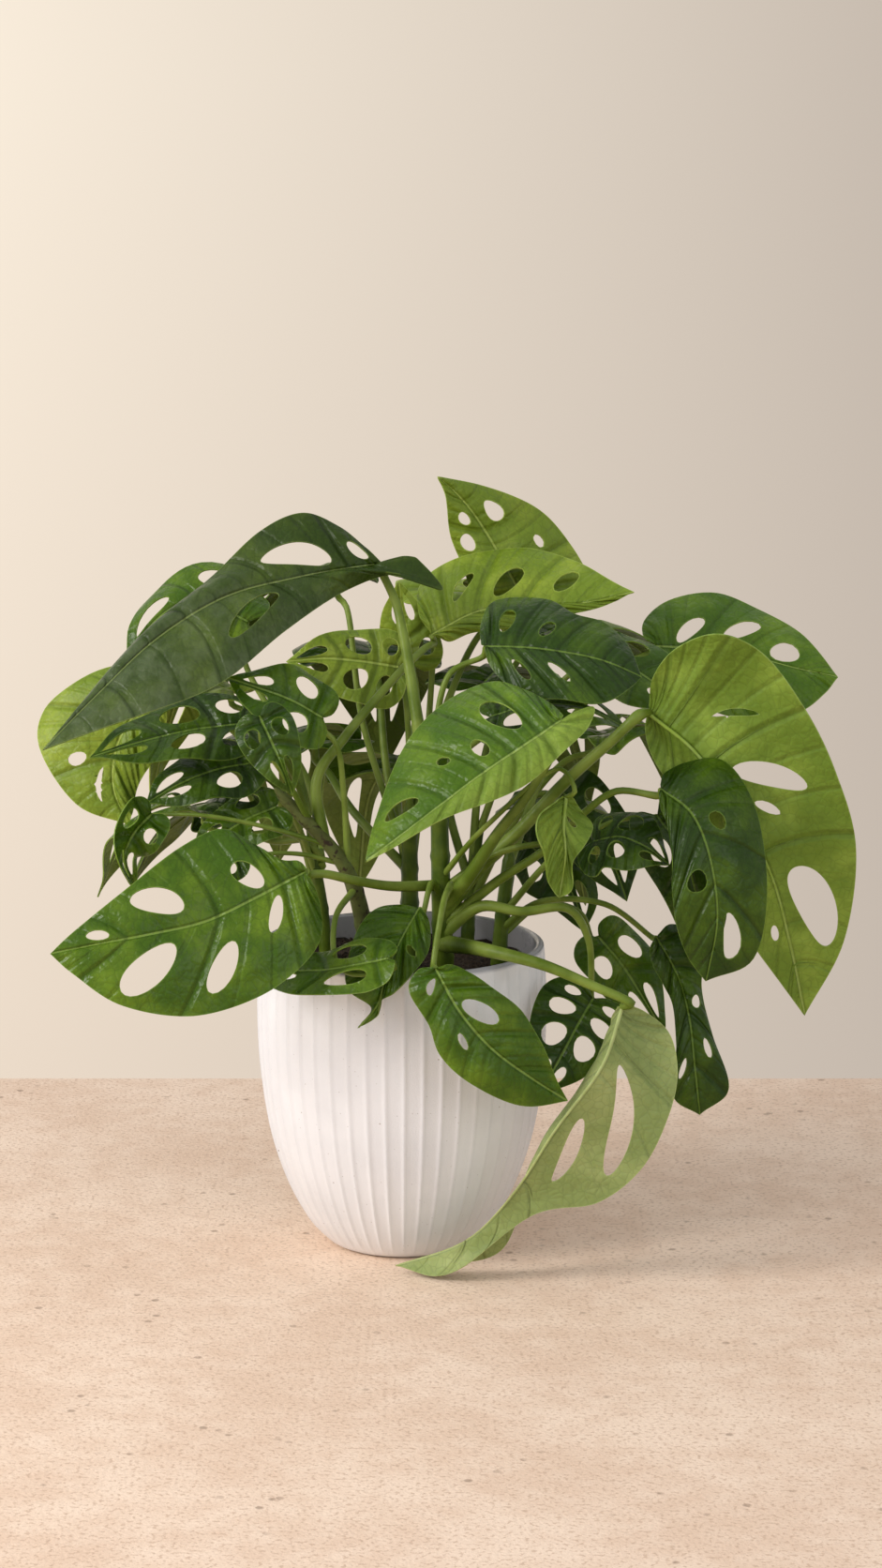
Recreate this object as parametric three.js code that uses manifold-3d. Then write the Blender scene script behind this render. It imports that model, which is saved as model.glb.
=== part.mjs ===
// Potted swiss cheese plant: a bushy plant of perforated leaves in a round fluted ceramic pot.
// Sizes in millimetres, +Z up, the origin at the middle of the pot's foot on the table.
// +X is to the right and -Y is the front, where the two large hanging leaves are.

import * as THREE from 'three';
import { mergeVertices } from 'three/addons/utils/BufferGeometryUtils.js';
import Module from 'manifold-3d';

const wasm = await Module();
wasm.setup();

// Driving sizes of the pot
const POT_HEIGHT = 165;
const FLUTES = 48;
const FLUTE_DEPTH = 0.9;
const FLUTE_TURN = 1.5;
const FLOOR_THICKNESS = 7;
const SOIL_TOP = 152;
const SOIL_RADIUS = 70.4;
const SOIL_GAP = 0.6;
const SOIL_UNEVENNESS = 1.3;
const SOIL_MIDDLE = 36;
const STEM_HOLE_EXTRA = 0.35;
const STEM_HOLE_ABOVE = 6;
const CLEARANCE = 0.3;

// Outside of the pot from the foot to the lip, as radius and height
const POT_OUTSIDE = [
  [36.5, 0], [42, 3.2], [52.3, 15], [63, 36], [71.7, 64], [76.6, 98], [77.8, 130], [76.6, 160],
];

// Rounded lip, and the inside of the pot from above the lip down to the inner floor
const LIP = [[75.2, 164], [73.6, POT_HEIGHT]];
const POT_INSIDE = [
  [73.6, POT_HEIGHT + 1], [71.7, 163], [71.6, 118], [65.6, 66], [42, 14], [32, FLOOR_THICKNESS],
];

// Driving sizes of the leaves and stalks
const BLADE = 0.7;
const RIB_HEIGHT = 1.5;
const RIB_HALF_WIDTH = 1.5;
const QUILT = 1.1;
const STALK_ROOT = 1.7;
const STALK_END = 1.25;
const STALK_LEAST = 0.6;
const STALK_SMALL = 0.75;
const STALK_WIDTH_SHARE = 50;
const STALK_BEND_BELOW = 5;
const STALK_BEND_BEHIND = 1.5;
const SEAT_EXTRA = 0.05;
const STALK_SIDES = 5;
const STEM_SIDES = 8;
const BOW = 2;
const BOW_WIDTH = 30;
const MARGIN_STEP = 0.09;
const LEAST_AREA = 1e-6;
const SHORTER = 0.97;
const TURN_PASSES = 30;
const LARGE_HOLE = 0.005;
const LARGE_HOLE_CORNERS = 8;
const HOLE_CORNERS = 5;
const STEM_HOLE_SIDES = 10;
const SOIL_SIDES = 26;
const ROOT_LEVEL = 128;

const DARK = new THREE.Color(0.05, 0.12, 0.04);
const MID = new THREE.Color(0.11, 0.24, 0.06);
const LIGHT = new THREE.Color(0.28, 0.42, 0.09);
const STALK_GREEN = new THREE.Color(0.25, 0.33, 0.1);
const GLAZE = new THREE.Color(0.8, 0.79, 0.77);
const EARTH = new THREE.Color(0.06, 0.04, 0.03);

// One half of a leaf in eleven even steps from the notch at the stalk to the tip.
// Each step holds the start of its line on the midrib and its end on the margin:
// midrib place, margin place along the midrib, margin distance from the midrib.
const HALF = [
  [0.0, -0.02, 0.06], [0.004, -0.09, 0.3], [0.016, -0.085, 0.64], [0.05, 0.0, 0.89],
  [0.11, 0.13, 1.0], [0.19, 0.28, 1.0], [0.295, 0.43, 0.93], [0.43, 0.58, 0.79],
  [0.6, 0.74, 0.57], [0.8, 0.88, 0.27], [1.0, 1.0, 0.0],
];

// Smooth line through evenly spaced rows of numbers
function through(rows, u) {
  const last = rows.length - 1;
  const place = Math.min(Math.max(u, 0), 1) * last;
  const i = Math.min(Math.floor(place), last - 1);
  const f = place - i;
  return rows[i].map((_, c) => {
    const p1 = rows[i][c];
    const p2 = rows[i + 1][c];
    const p0 = i > 0 ? rows[i - 1][c] : 2 * p1 - p2;
    const p3 = i + 2 <= last ? rows[i + 2][c] : 2 * p2 - p1;
    const v0 = (p2 - p0) / 2;
    const v1 = (p3 - p1) / 2;
    const cubic = 2 * p1 - 2 * p2 + v0 + v1;
    const square = -3 * p1 + 3 * p2 - 2 * v0 - v1;
    return ((cubic * f + square) * f + v0) * f + p1;
  });
}

const vec = (p) => new THREE.Vector3(...p);

// Point of the midrib, carried on straight behind the stalk for the two basal lobes
function ribPoint(leaf, a) {
  const rows = leaf.rib;
  if (a >= 0) return vec(through(rows, a));
  const start = vec(rows[0]);
  const run = vec(rows[1]).sub(start).multiplyScalar(rows.length - 1);
  return start.addScaledVector(run, a);
}

// Axes of the blade at a place of the midrib: along, upper face, and towards its left half
function ribAxes(leaf, a) {
  const place = Math.min(Math.max(a, 0), 0.98);
  const along = ribPoint(leaf, place + 0.02).sub(ribPoint(leaf, place)).normalize();
  const face = vec(leaf.face[0]).lerp(vec(leaf.face[1]), place);
  face.addScaledVector(along, -face.dot(along)).normalize();
  const left = new THREE.Vector3().crossVectors(face, along);
  return { along, face, left };
}

// Row of the half outline with its basal lobe drawn out or drawn in
function halfRow(leaf, side, k) {
  const [start, end, reach] = through(HALF, k);
  const near = Math.max(0, 1 - k / 0.4);
  const lobe = 1 + (leaf.lobe[side] - 1) * near;
  return [start, end < 0 ? end * leaf.lobe[side] : end, reach * lobe];
}

// Where k lies between its two side veins, from 0 to 1
function panelPlace(leaf, k) {
  const next = leaf.lines.findIndex((line) => line > k);
  if (next < 1) return 0;
  return (k - leaf.lines[next - 1]) / (leaf.lines[next] - leaf.lines[next - 1]);
}

// Point of the blade: side 0 is the left half and 1 the right half, k runs from the notch
// to the tip and t from the midrib to the margin. A leaf with a traced margin is stretched
// from its midrib to that margin; the others are curled from their width and angles.
function bladePoint(leaf, side, k, t) {
  const [start, end, reach] = halfRow(leaf, side, k);
  const a = start + (end - start) * Math.pow(t, 1.35);
  const b = Math.max(reach, 0) * t;
  const { face, left } = ribAxes(leaf, a);
  const puff = QUILT * Math.sin(Math.PI * panelPlace(leaf, k)) * Math.min(Math.max(reach, 0), 1);
  const arch = Math.sin(Math.PI * Math.min(t, 1));
  if (leaf.edge) {
    const out = vec(through(leaf.edge[side], k)).sub(ribPoint(leaf, end));
    const bow = BOW * Math.min(out.length() / BOW_WIDTH, 1);
    const lift = face.projectOnPlane(out.clone().normalize()).normalize();
    return ribPoint(leaf, a).addScaledVector(out, t).addScaledVector(lift, (puff + bow) * arch);
  }
  const width = leaf.half[side];
  const fold = THREE.MathUtils.degToRad(leaf.fold[side]);
  const curl = THREE.MathUtils.degToRad(leaf.curl[side]) || 0.001;
  const across = (width * (Math.sin(fold + curl * b) - Math.sin(fold))) / curl;
  const phase = side * 2 + leaf.rib[0][0] * 0.1;
  const ripple = leaf.wave * t * t * Math.min(reach * 3, 1) * Math.sin(2 * Math.PI * 2.5 * k + phase);
  const rise = (width * (Math.cos(fold) - Math.cos(fold + curl * b))) / curl + ripple + puff * arch;
  const sign = side === 0 ? 1 : -1;
  return ribPoint(leaf, a).addScaledVector(left, sign * across).addScaledVector(face, rise);
}

// Turns the long edges between two faces of a half blade to the shorter way across,
// so that a strongly bent blade keeps its form with few faces
function shortenEdges(faces, points, flat) {
  const area = (a, b, c) => THREE.ShapeUtils.area([flat[a], flat[b], flat[c]]);
  for (let pass = 0; pass < TURN_PASSES; pass += 1) {
    const owner = new Map();
    faces.forEach(([a, b, c], i) => {
      owner.set(`${a} ${b}`, [i, c]);
      owner.set(`${b} ${c}`, [i, a]);
      owner.set(`${c} ${a}`, [i, b]);
    });
    const used = new Set();
    let turned = 0;
    for (const [edge, [i, c]] of owner) {
      const [a, b] = edge.split(' ').map(Number);
      const other = owner.get(`${b} ${a}`);
      if (!other || used.has(i) || used.has(other[0])) continue;
      const d = other[1];
      const sign = Math.sign(area(a, b, c));
      const fits = sign * area(a, d, c) > LEAST_AREA && sign * area(d, b, c) > LEAST_AREA;
      const across = points[c].distanceTo(points[d]);
      if (!fits || across > SHORTER * points[a].distanceTo(points[b])) continue;
      faces[i] = [a, d, c];
      faces[other[0]] = [d, b, c];
      used.add(i);
      used.add(other[0]);
      turned += 1;
    }
    if (turned === 0) return;
  }
}

// Closed solid of a leaf blade with its holes and its raised midrib on the underside
function bladeGeometry(leaf) {
  const points = [];
  const flat = [];
  const places = new Map();
  const onRib = new Set();
  const faces = [];
  const ribShare = (k) => {
    const reach = Math.max(through(HALF, k)[2], 0.001);
    return Math.min(RIB_HALF_WIDTH / (reach * leaf.half[0]), 0.3);
  };
  const place = (side, k, t) => {
    const row = t === 0 ? `rib ${k.toFixed(4)}` : `${side} ${k.toFixed(4)} ${t.toFixed(4)}`;
    const key = k >= 1 ? 'tip' : row;
    if (!places.has(key)) {
      places.set(key, points.length);
      points.push(bladePoint(leaf, side, k, t));
      if (t === 0 || k >= 1) onRib.add(points.length - 1);
      const [start, end, reach] = halfRow(leaf, side, k);
      flat.push(new THREE.Vector2(start + (end - start) * Math.pow(t, 1.35), reach * t * 0.4));
    }
    return places.get(key);
  };
  for (const side of [0, 1]) {
    const halfFaces = [];
    for (let v = 1; v < leaf.lines.length; v += 1) {
      const k0 = leaf.lines[v - 1];
      const k1 = leaf.lines[v];
      const km = (k0 + k1) / 2;
      const steps = leaf.fine ? [0.5, 1] : [1];
      const r0 = ribShare(k0);
      const r1 = ribShare(k1);
      const ring = [place(side, k0, r0), ...steps.map((t) => place(side, k0, t))];
      const parts = leaf.edge ? Math.max(2, Math.round((k1 - k0) / MARGIN_STEP)) : 2;
      for (let i = 1; i < parts; i += 1) ring.push(place(side, k0 + ((k1 - k0) * i) / parts, 1));
      if (k1 < 1) ring.push(...steps.map((t) => place(side, k1, t)).reverse());
      ring.push(place(side, k1, r1));
      if (k1 >= 1) ring.push(place(side, km, 0));
      const holes = [];
      for (const [middle, out, length, breadth, slant] of leaf.holes[side]) {
        if (middle < k0 || middle > k1) continue;
        const hole = [];
        const corners = leaf.edge && length * breadth > LARGE_HOLE ? LARGE_HOLE_CORNERS : HOLE_CORNERS;
        for (let i = 0; i < corners; i += 1) {
          const turn = (2 * Math.PI * i) / corners;
          const k = middle + breadth * Math.sin(turn) + slant * length * Math.cos(turn);
          hole.push(place(side, k, out + length * Math.cos(turn)));
        }
        holes.push(hole);
      }
      const order = [...ring, ...holes.flat()];
      const contour = ring.map((i) => flat[i]);
      const cuts = holes.map((hole) => hole.map((i) => flat[i]));
      const add = (a, b, c) => {
        const area = THREE.ShapeUtils.area([flat[a], flat[b], flat[c]]);
        const forward = side === 0 ? area > 0 : area < 0;
        halfFaces.push(forward ? [a, b, c] : [a, c, b]);
      };
      for (const [a, b, c] of THREE.ShapeUtils.triangulateShape(contour, cuts)) {
        add(order[a], order[b], order[c]);
      }
      const rib0 = place(side, k0, 0);
      add(rib0, ring[0], ring[ring.length - 1]);
      if (k1 < 1) add(rib0, ring[ring.length - 1], place(side, k1, 0));
    }
    shortenEdges(halfFaces, points, flat);
    faces.push(...halfFaces);
  }
  const normals = points.map(() => new THREE.Vector3());
  for (const [a, b, c] of faces) {
    const edge = points[b].clone().sub(points[a]);
    const normal = edge.cross(points[c].clone().sub(points[a]));
    for (const i of [a, b, c]) normals[i].add(normal);
  }
  const up = vec(leaf.face[0]);
  const flip = normals[places.get('rib 0.0000')].dot(up) < 0 ? -1 : 1;
  const position = [];
  const half = BLADE / 2;
  points.forEach((p, i) => {
    const normal = normals[i].multiplyScalar(flip).normalize();
    position.push(...p.clone().addScaledVector(normal, half).toArray());
  });
  points.forEach((p, i) => {
    const taper = leaf.small ? 0 : 1 - 0.85 * Math.max(flat[i].x, 0);
    const depth = half + (onRib.has(i) ? RIB_HEIGHT * taper : 0);
    position.push(...p.clone().addScaledVector(normals[i], -depth).toArray());
  });
  const n = points.length;
  const index = [];
  const open = new Map();
  for (const face of faces) {
    const [a, b, c] = flip > 0 ? face : [face[0], face[2], face[1]];
    index.push(a, b, c, n + a, n + c, n + b);
    for (const [s, e] of [[a, b], [b, c], [c, a]]) {
      const back = `${e} ${s}`;
      if (open.has(back)) open.delete(back);
      else open.set(`${s} ${e}`, [s, e]);
    }
  }
  for (const [s, e] of open.values()) index.push(s, n + s, e, e, n + s, n + e);
  const geometry = new THREE.BufferGeometry();
  geometry.setAttribute('position', new THREE.Float32BufferAttribute(position, 3));
  geometry.setIndex(index);
  return geometry;
}

// Tapered rod of a few sides bent along a smooth curve
function bentRod(points, rootRadius, endRadius, sides, steps) {
  const curve = new THREE.CatmullRomCurve3(points.map(vec), false, 'centripetal');
  const frames = curve.computeFrenetFrames(steps, false);
  const rod = new THREE.CylinderGeometry(endRadius, rootRadius, 1, sides, steps);
  const position = rod.getAttribute('position');
  for (let i = 0; i < position.count; i += 1) {
    const step = Math.round((position.getY(i) + 0.5) * steps);
    const point = curve.getPointAt(step / steps);
    point.addScaledVector(frames.normals[step], position.getX(i));
    point.addScaledVector(frames.binormals[step], -position.getZ(i));
    position.setXYZ(i, point.x, point.y, point.z);
  }
  return rod;
}

// Exact solid of a closed geometry, and the geometry of an exact solid
function toSolid(geometry) {
  const bare = geometry.clone();
  bare.deleteAttribute('normal');
  bare.deleteAttribute('uv');
  const merged = mergeVertices(bare, 1e-4);
  const mesh = new wasm.Mesh({
    numProp: 3,
    vertProperties: new Float32Array(merged.getAttribute('position').array),
    triVerts: new Uint32Array(merged.getIndex().array),
  });
  return new wasm.Manifold(mesh);
}

function toGeometry(solid) {
  const mesh = solid.getMesh();
  const geometry = new THREE.BufferGeometry();
  geometry.setAttribute('position', new THREE.BufferAttribute(new Float32Array(mesh.vertProperties), 3));
  geometry.setIndex(new THREE.BufferAttribute(new Uint32Array(mesh.triVerts), 1));
  return geometry;
}

const plant = new THREE.Group();

function addPiece(name, geometry, color, roughness) {
  geometry.computeVertexNormals();
  const material = new THREE.MeshStandardMaterial({ color, roughness, metalness: 0 });
  const piece = new THREE.Mesh(geometry, material);
  piece.name = name;
  plant.add(piece);
}

// The stems that stand in the soil, from the root end up, with the radius at root and top
const STEMS = {
  front: {
    points: [[22, -20, ROOT_LEVEL], [22, -24, 165], [21, -30, 200], [20, -30, 246]],
    radius: [6, 4.5],
  },
  right: { points: [[50, -2, ROOT_LEVEL], [53, -2, 170], [58, 0, 215]], radius: [4.5, 3.5] },
  left: {
    points: [[-16, -20, ROOT_LEVEL], [-20, -24, 180], [-30, -28, 212], [-66, -30, 254]],
    radius: [5.5, 3],
  },
  left_back: { points: [[-40, 12, ROOT_LEVEL], [-43, 13, 180], [-50, 16, 220]], radius: [4, 3] },
  back: { points: [[4, 24, ROOT_LEVEL], [4, 27, 180], [4, 30, 236]], radius: [5.5, 4] },
  back_right: { points: [[34, 36, ROOT_LEVEL], [37, 40, 180], [42, 44, 222]], radius: [4, 3] },
};

// Holes of one half as vein gap, middle, half length and breadth, for leaves of three sizes
const LARGE_HOLES = [
  [1, 0.5, 0.2, 0.62], [2, 0.46, 0.28, 0.7], [3, 0.44, 0.3, 0.7], [4, 0.46, 0.28, 0.66],
];
const MIDDLE_HOLES = [[1, 0.5, 0.24, 0.64], [2, 0.48, 0.28, 0.66], [3, 0.48, 0.24, 0.6]];
const SMALL_HOLES = [[1, 0.5, 0.26, 0.6], [2, 0.42, 0.22, 0.5]];
const FAR_HOLES = [[1, 0.5, 0.27, 0.6], [2, 0.4, 0.16, 0.42]];
const HOLES_BY_VEINS = { 3: SMALL_HOLES, 4: MIDDLE_HOLES, 5: LARGE_HOLES };

const LEAVES = [
  {
    name: 'leaf_high_left', on: 'front', tone: DARK,
    rib: [
      [-12, -4, 369], [-53, -14, 363], [-92, -26, 354], [-127, -42, 334], [-156, -60, 308],
      [-182, -78, 283],
    ],
    face: [[0.1, -0.95, 0.35], [-0.3, -0.45, 0.85]], half: [44, 44],
    edge: [
      [
        [-10, -4, 370], [6, -4, 372], [22, -12, 356], [-2, -12, 365], [-28, -11, 356],
        [-60, -33, 337], [-92, -57, 315], [-132, -71, 300], [-182, -78, 283],
      ],
      [
        [-11, -3, 370], [-19, 0, 377], [-33, 5, 388], [-52, 8, 394], [-75, 3, 384],
        [-99, -14, 364], [-125, -30, 344], [-152, -48, 316], [-182, -78, 283],
      ],
    ],
    lines: [0, 0.33, 0.58, 0.745, 0.88, 1],
    holes: [
      [[0.66, 0.46, 0.2, 0.045, 0.16]],
      [[0.19, 0.45, 0.28, 0.08, -0.1], [0.475, 0.36, 0.26, 0.07, 0.2]],
    ],
    stalk: [
      [20, -30, 238], [15, -27, 254], [9, -20, 286], [5, -12, 311], [1, -5, 332], [-3, 2, 348],
    ],
    root: 4.2,
  },
  {
    name: 'leaf_back_lit', on: 'left_back', tone: LIGHT,
    rib: [[-132, 32, 293], [-145, 30, 281], [-154, 28, 264], [-155, 24, 244], [-147, 18, 225]],
    face: [[-0.1, -0.85, 0.5], [-0.1, -0.95, 0.2]], half: [32, 30],
    edge: [
      [
        [-130, 31, 292], [-126, 28, 283], [-129, 24, 270], [-135, 22, 257], [-141, 25, 247],
        [-144, 24, 239], [-145, 20, 231], [-147, 18, 225],
      ],
      [
        [-133, 34, 295], [-137, 41, 304], [-153, 48, 307], [-175, 49, 298], [-195, 48, 282],
        [-196, 39, 262], [-175, 27, 234], [-147, 18, 225],
      ],
    ],
    lines: [0, 0.3, 0.55, 0.785, 1],
    holes: [
      [],
      [[0.76, 0.54, 0.14, 0.018, 0.02], [0.85, 0.34, 0.17, 0.018, 0.27]],
    ],
    stalk: [[-42, 13, 172], [-62, 20, 238], [-100, 28, 282]],
  },
  {
    name: 'leaf_left_upper', on: 'left_back', tone: DARK, veins: 4,
    rib: [[-80, 2, 283], [-111, -3, 280], [-137, -10, 275], [-164, -18, 268]],
    face: [[0, -0.5, 0.85], [-0.2, -0.6, 0.8]],
    half: [24, 26], fold: [8, 10], curl: [-20, -20], wave: 2,
    stalk: [[-43, 13, 180], [-52, 14, 236], [-66, 8, 268]],
  },
  {
    name: 'leaf_left_lower', on: 'left_back', tone: DARK, veins: 3,
    rib: [[-80, -2, 262], [-100, -8, 259], [-119, -14, 252], [-135, -18, 243]],
    face: [[0, -0.6, 0.8], [-0.2, -0.7, 0.7]],
    half: [20, 20], fold: [6, 8], curl: [-20, -20], wave: 2,
    stalk: [[-46, 14, 198], [-58, 8, 232], [-70, 2, 252]],
  },
  {
    name: 'leaf_behind_left', on: 'left_back', tone: MID, veins: 3,
    rib: [[-84, 52, 330], [-108, 50, 342], [-130, 46, 334], [-149, 40, 311]],
    face: [[0.1, -0.7, 0.7], [-0.5, -0.5, 0.6]],
    half: [26, 28], fold: [10, 10], curl: [-35, -35], wave: 3,
    stalk: [[-45, 14, 190], [-58, 34, 258], [-86, 58, 308]],
  },
  {
    name: 'leaf_front_left', on: 'front', tone: MID,
    rib: [
      [-48, -88, 222], [-72, -98, 211], [-98, -106, 200], [-124, -112, 195], [-149, -116, 191],
      [-176, -118, 186],
    ],
    face: [[-0.05, -0.9, 0.42], [-0.1, -0.92, 0.38]], half: [50, 42],
    edge: [
      [
        [-46, -89, 219], [-41, -93, 207], [-40, -100, 191], [-50, -109, 177], [-72, -117, 163],
        [-105, -123, 155], [-140, -125, 161], [-164, -121, 176], [-176, -118, 186],
      ],
      [
        [-48, -87, 224], [-52, -85, 227], [-61, -85, 227], [-74, -80, 234], [-91, -76, 242],
        [-111, -84, 234], [-136, -98, 217], [-160, -110, 200], [-176, -118, 186],
      ],
    ],
    lines: [0, 0.18, 0.37, 0.64, 0.85, 1],
    holes: [
      [[0.44, 0.27, 0.18, 0.033, 0.09], [0.594, 0.57, 0.24, 0.032, 0], [0.754, 0.54, 0.35, 0.042, 0]],
      [[0.514, 0.28, 0.2, 0.046, 0.12], [0.746, 0.55, 0.31, 0.038, 0.05], [0.893, 0.42, 0.25, 0.02, 0]],
    ],
    stalk: [[20, -30, 202], [-5, -50, 206], [-24, -68, 213], [-39, -80, 219]],
    root: 2.8,
  },
  {
    name: 'leaf_pot_left', on: 'left', tone: MID, veins: 3,
    rib: [[-6, -96, 178], [-35, -90, 171], [-58, -78, 167], [-76, -64, 162]],
    face: [[0, -0.55, 0.85], [-0.1, -0.6, 0.8]],
    half: [18, 18], fold: [5, 5], curl: [-20, -20], wave: 1.5, lobe: [0.5, 0.5],
    stalk: [[-24, -26, 200], [-34, -56, 190], [-33, -77, 172], [-23, -92, 169]],
  },
  {
    name: 'leaf_pot_centre', on: 'front', tone: DARK,
    rib: [[10, -58, 196], [1, -72, 183], [-7, -84, 167], [-12, -88, 151], [-22, -86, 139]],
    face: [[-0.1, -0.6, 0.8], [-0.1, -0.95, 0.25]], half: [23, 23],
    edge: [
      [
        [11, -58, 196], [15, -66, 189], [14, -79, 178], [6, -89, 167], [-3, -90, 159],
        [-10, -88, 154], [-12, -88, 146], [-22, -86, 139],
      ],
      [
        [8, -57, 196], [-1, -52, 197], [-13, -52, 193], [-23, -63, 184], [-28, -75, 169],
        [-26, -82, 158], [-15, -87, 150], [-22, -86, 139],
      ],
    ],
    lines: [0, 0.3, 0.525, 0.68, 0.85, 1],
    holes: [
      [[0.43, 0.6, 0.2, 0.022, -0.25]],
      [[0.585, 0.35, 0.18, 0.04, -0.05]],
    ],
    stalk: [[21, -30, 196], [16, -42, 206]],
  },
  {
    name: 'leaf_front_hanging', on: 'front', tone: DARK,
    rib: [[18, -106, 176], [30, -112, 155], [46, -113, 136], [65, -108, 120], [86, -99, 104]],
    face: [[-0.1, -0.85, 0.5], [0.1, -0.95, 0.3]], half: [26, 27],
    edge: [
      [
        [20, -106, 176], [26, -104, 177], [35, -104, 173], [47, -105, 165], [62, -103, 153],
        [71, -101, 137], [78, -100, 120], [86, -99, 104],
      ],
      [
        [17, -106, 176], [9, -105, 174], [5, -107, 164], [15, -112, 147], [21, -115, 132],
        [36, -116, 118], [62, -109, 104], [86, -99, 104],
      ],
    ],
    lines: [0, 0.2, 0.42, 0.69, 0.85, 1],
    holes: [
      [[0.578, 0.31, 0.23, 0.07, 0.07]],
      [[0.32, 0.34, 0.2, 0.033, 0.12], [0.645, 0.37, 0.1, 0.03, 0.09]],
    ],
    stalk: [[22, -30, 192], [26, -56, 208], [22, -86, 204]],
  },
  {
    name: 'leaf_right_hanging', on: 'front', tone: DARK, veins: 5,
    rib: [[101, -40, 143], [92, -50, 130], [83, -58, 115], [72, -64, 97]],
    face: [[0.1, -0.9, 0.4], [-0.1, -0.95, 0.2]],
    half: [25, 26], fold: [5, 5], curl: [-16, -16], wave: 2, lobe: [0.9, 0.9],
    stalk: [
      [22, -27, 175], [42, -40, 193], [63, -48, 192], [87, -50, 194], [98, -44, 177],
    ],
    root: 3.2,
  },
  {
    name: 'leaf_floor', on: 'front', tone: LIGHT, fine: true,
    rib: [[114, -84, 150], [103, -99, 122], [80, -98, 89], [59, -88, 52], [34, -76, 22], [-3, -63, 4]],
    face: [[-0.3, 0.9, 0.2], [-0.2, 0.85, -0.3]], half: [34, 52],
    edge: [
      [
        [112, -83, 150], [110, -78, 143], [109, -76, 134], [102, -78, 117], [91, -80, 102],
        [79, -78, 82], [66, -73, 58], [60, -67, 31], [46, -65, 9], [-3, -63, 4],
      ],
      [
        [116, -83, 151], [127, -79, 146], [139, -78, 133], [143, -84, 112], [138, -91, 91],
        [125, -91, 66], [102, -88, 47], [69, -87, 39], [25, -79, 5], [-3, -63, 4],
      ],
    ],
    lines: [0, 0.2, 0.4, 0.78, 0.9, 1],
    holes: [
      [],
      [[0.543, 0.52, 0.33, 0.05, 0.24], [0.685, 0.38, 0.21, 0.035, 0.21]],
    ],
    stalk: [[22, -26, 170], [45, -60, 174], [74, -76, 170], [98, -82, 161]],
    root: 4.4,
  },
  {
    name: 'leaf_right_low_dark', on: 'right', tone: DARK,
    rib: [[135, -22, 172], [146, -30, 153], [152, -36, 132], [155, -40, 107], [158, -40, 80]],
    face: [[0.1, -0.9, 0.4], [0.15, -0.98, 0.1]], half: [22, 22],
    edge: [
      [
        [136, -21, 173], [143, -17, 178], [156, -16, 174], [160, -23, 162], [159, -30, 146],
        [165, -35, 121], [173, -36, 93], [158, -40, 80],
      ],
      [
        [134, -22, 171], [132, -24, 166], [133, -28, 158], [139, -32, 148], [144, -35, 137],
        [145, -40, 115], [144, -41, 90], [158, -40, 80],
      ],
    ],
    lines: [0, 0.25, 0.5, 0.73, 0.875, 1],
    holes: [
      [[0.65, 0.52, 0.25, 0.022, -0.11], [0.797, 0.45, 0.13, 0.026, -0.06]],
      [[0.836, 0.5, 0.2, 0.018, 0]],
    ],
    stalk: [[53, -2, 172], [74, -16, 190], [108, -22, 190]],
  },
  {
    name: 'leaf_right_low_back', on: 'right', tone: MID, veins: 3,
    rib: [[106, 12, 164], [119, 8, 149], [130, 4, 132], [142, 2, 112]],
    face: [[0.2, -0.8, 0.6], [0.2, -0.9, 0.3]],
    half: [20, 20], fold: [5, 5], curl: [-18, -18], wave: 2,
    stalk: [[53, -2, 168], [76, 6, 184], [96, 11, 178]],
  },
  {
    name: 'leaf_right_big', on: 'front', tone: LIGHT, fine: true,
    rib: [
      [128, -52, 298], [152, -62, 279], [175, -66, 247], [192, -62, 214], [203, -52, 176],
      [213, -36, 133],
    ],
    face: [[0, 0.9, 0.4], [-0.25, 0.95, -0.1]], half: [38, 66],
    edge: [
      [
        [127, -52, 295], [126, -51, 287], [130, -52, 276], [139, -56, 262], [150, -64, 245],
        [159, -68, 226], [170, -66, 204], [182, -60, 179], [199, -49, 154], [213, -36, 133],
      ],
      [
        [128, -53, 302], [130, -58, 317], [141, -68, 334], [161, -82, 343], [185, -78, 332],
        [206, -74, 305], [223, -70, 271], [236, -60, 228], [232, -46, 177], [213, -36, 133],
      ],
    ],
    lines: [0, 0.2, 0.36, 0.56, 0.76, 0.93, 1],
    holes: [
      [[0.855, 0.46, 0.13, 0.012, -0.05]],
      [
        [0.5, 0.46, 0.17, 0.011, 0.2], [0.643, 0.42, 0.28, 0.027, 0.13],
        [0.695, 0.26, 0.09, 0.013, 0.17], [0.853, 0.51, 0.35, 0.044, 0.08],
      ],
    ],
    stalk: [
      [22, -28, 186], [39, -34, 210], [61, -42, 233], [87, -51, 263], [109, -56, 284],
    ],
    root: 4.2,
  },
  {
    name: 'leaf_right_back_high', on: 'right', tone: MID,
    rib: [[138, 62, 315], [163, 66, 313], [189, 66, 309], [214, 62, 303], [237, 56, 299]],
    face: [[0, -0.75, 0.65], [0.2, -0.75, 0.65]], half: [34, 34],
    edge: [
      [
        [138, 63, 316], [132, 65, 319], [133, 77, 328], [147, 89, 336], [174, 97, 339],
        [198, 93, 331], [217, 83, 320], [231, 66, 306], [237, 56, 299],
      ],
      [
        [139, 61, 313], [135, 55, 305], [144, 49, 294], [161, 47, 285], [181, 46, 279],
        [201, 47, 278], [218, 48, 282], [230, 51, 292], [237, 56, 299],
      ],
    ],
    lines: [0, 0.18, 0.36, 0.56, 0.73, 0.9, 1],
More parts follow.
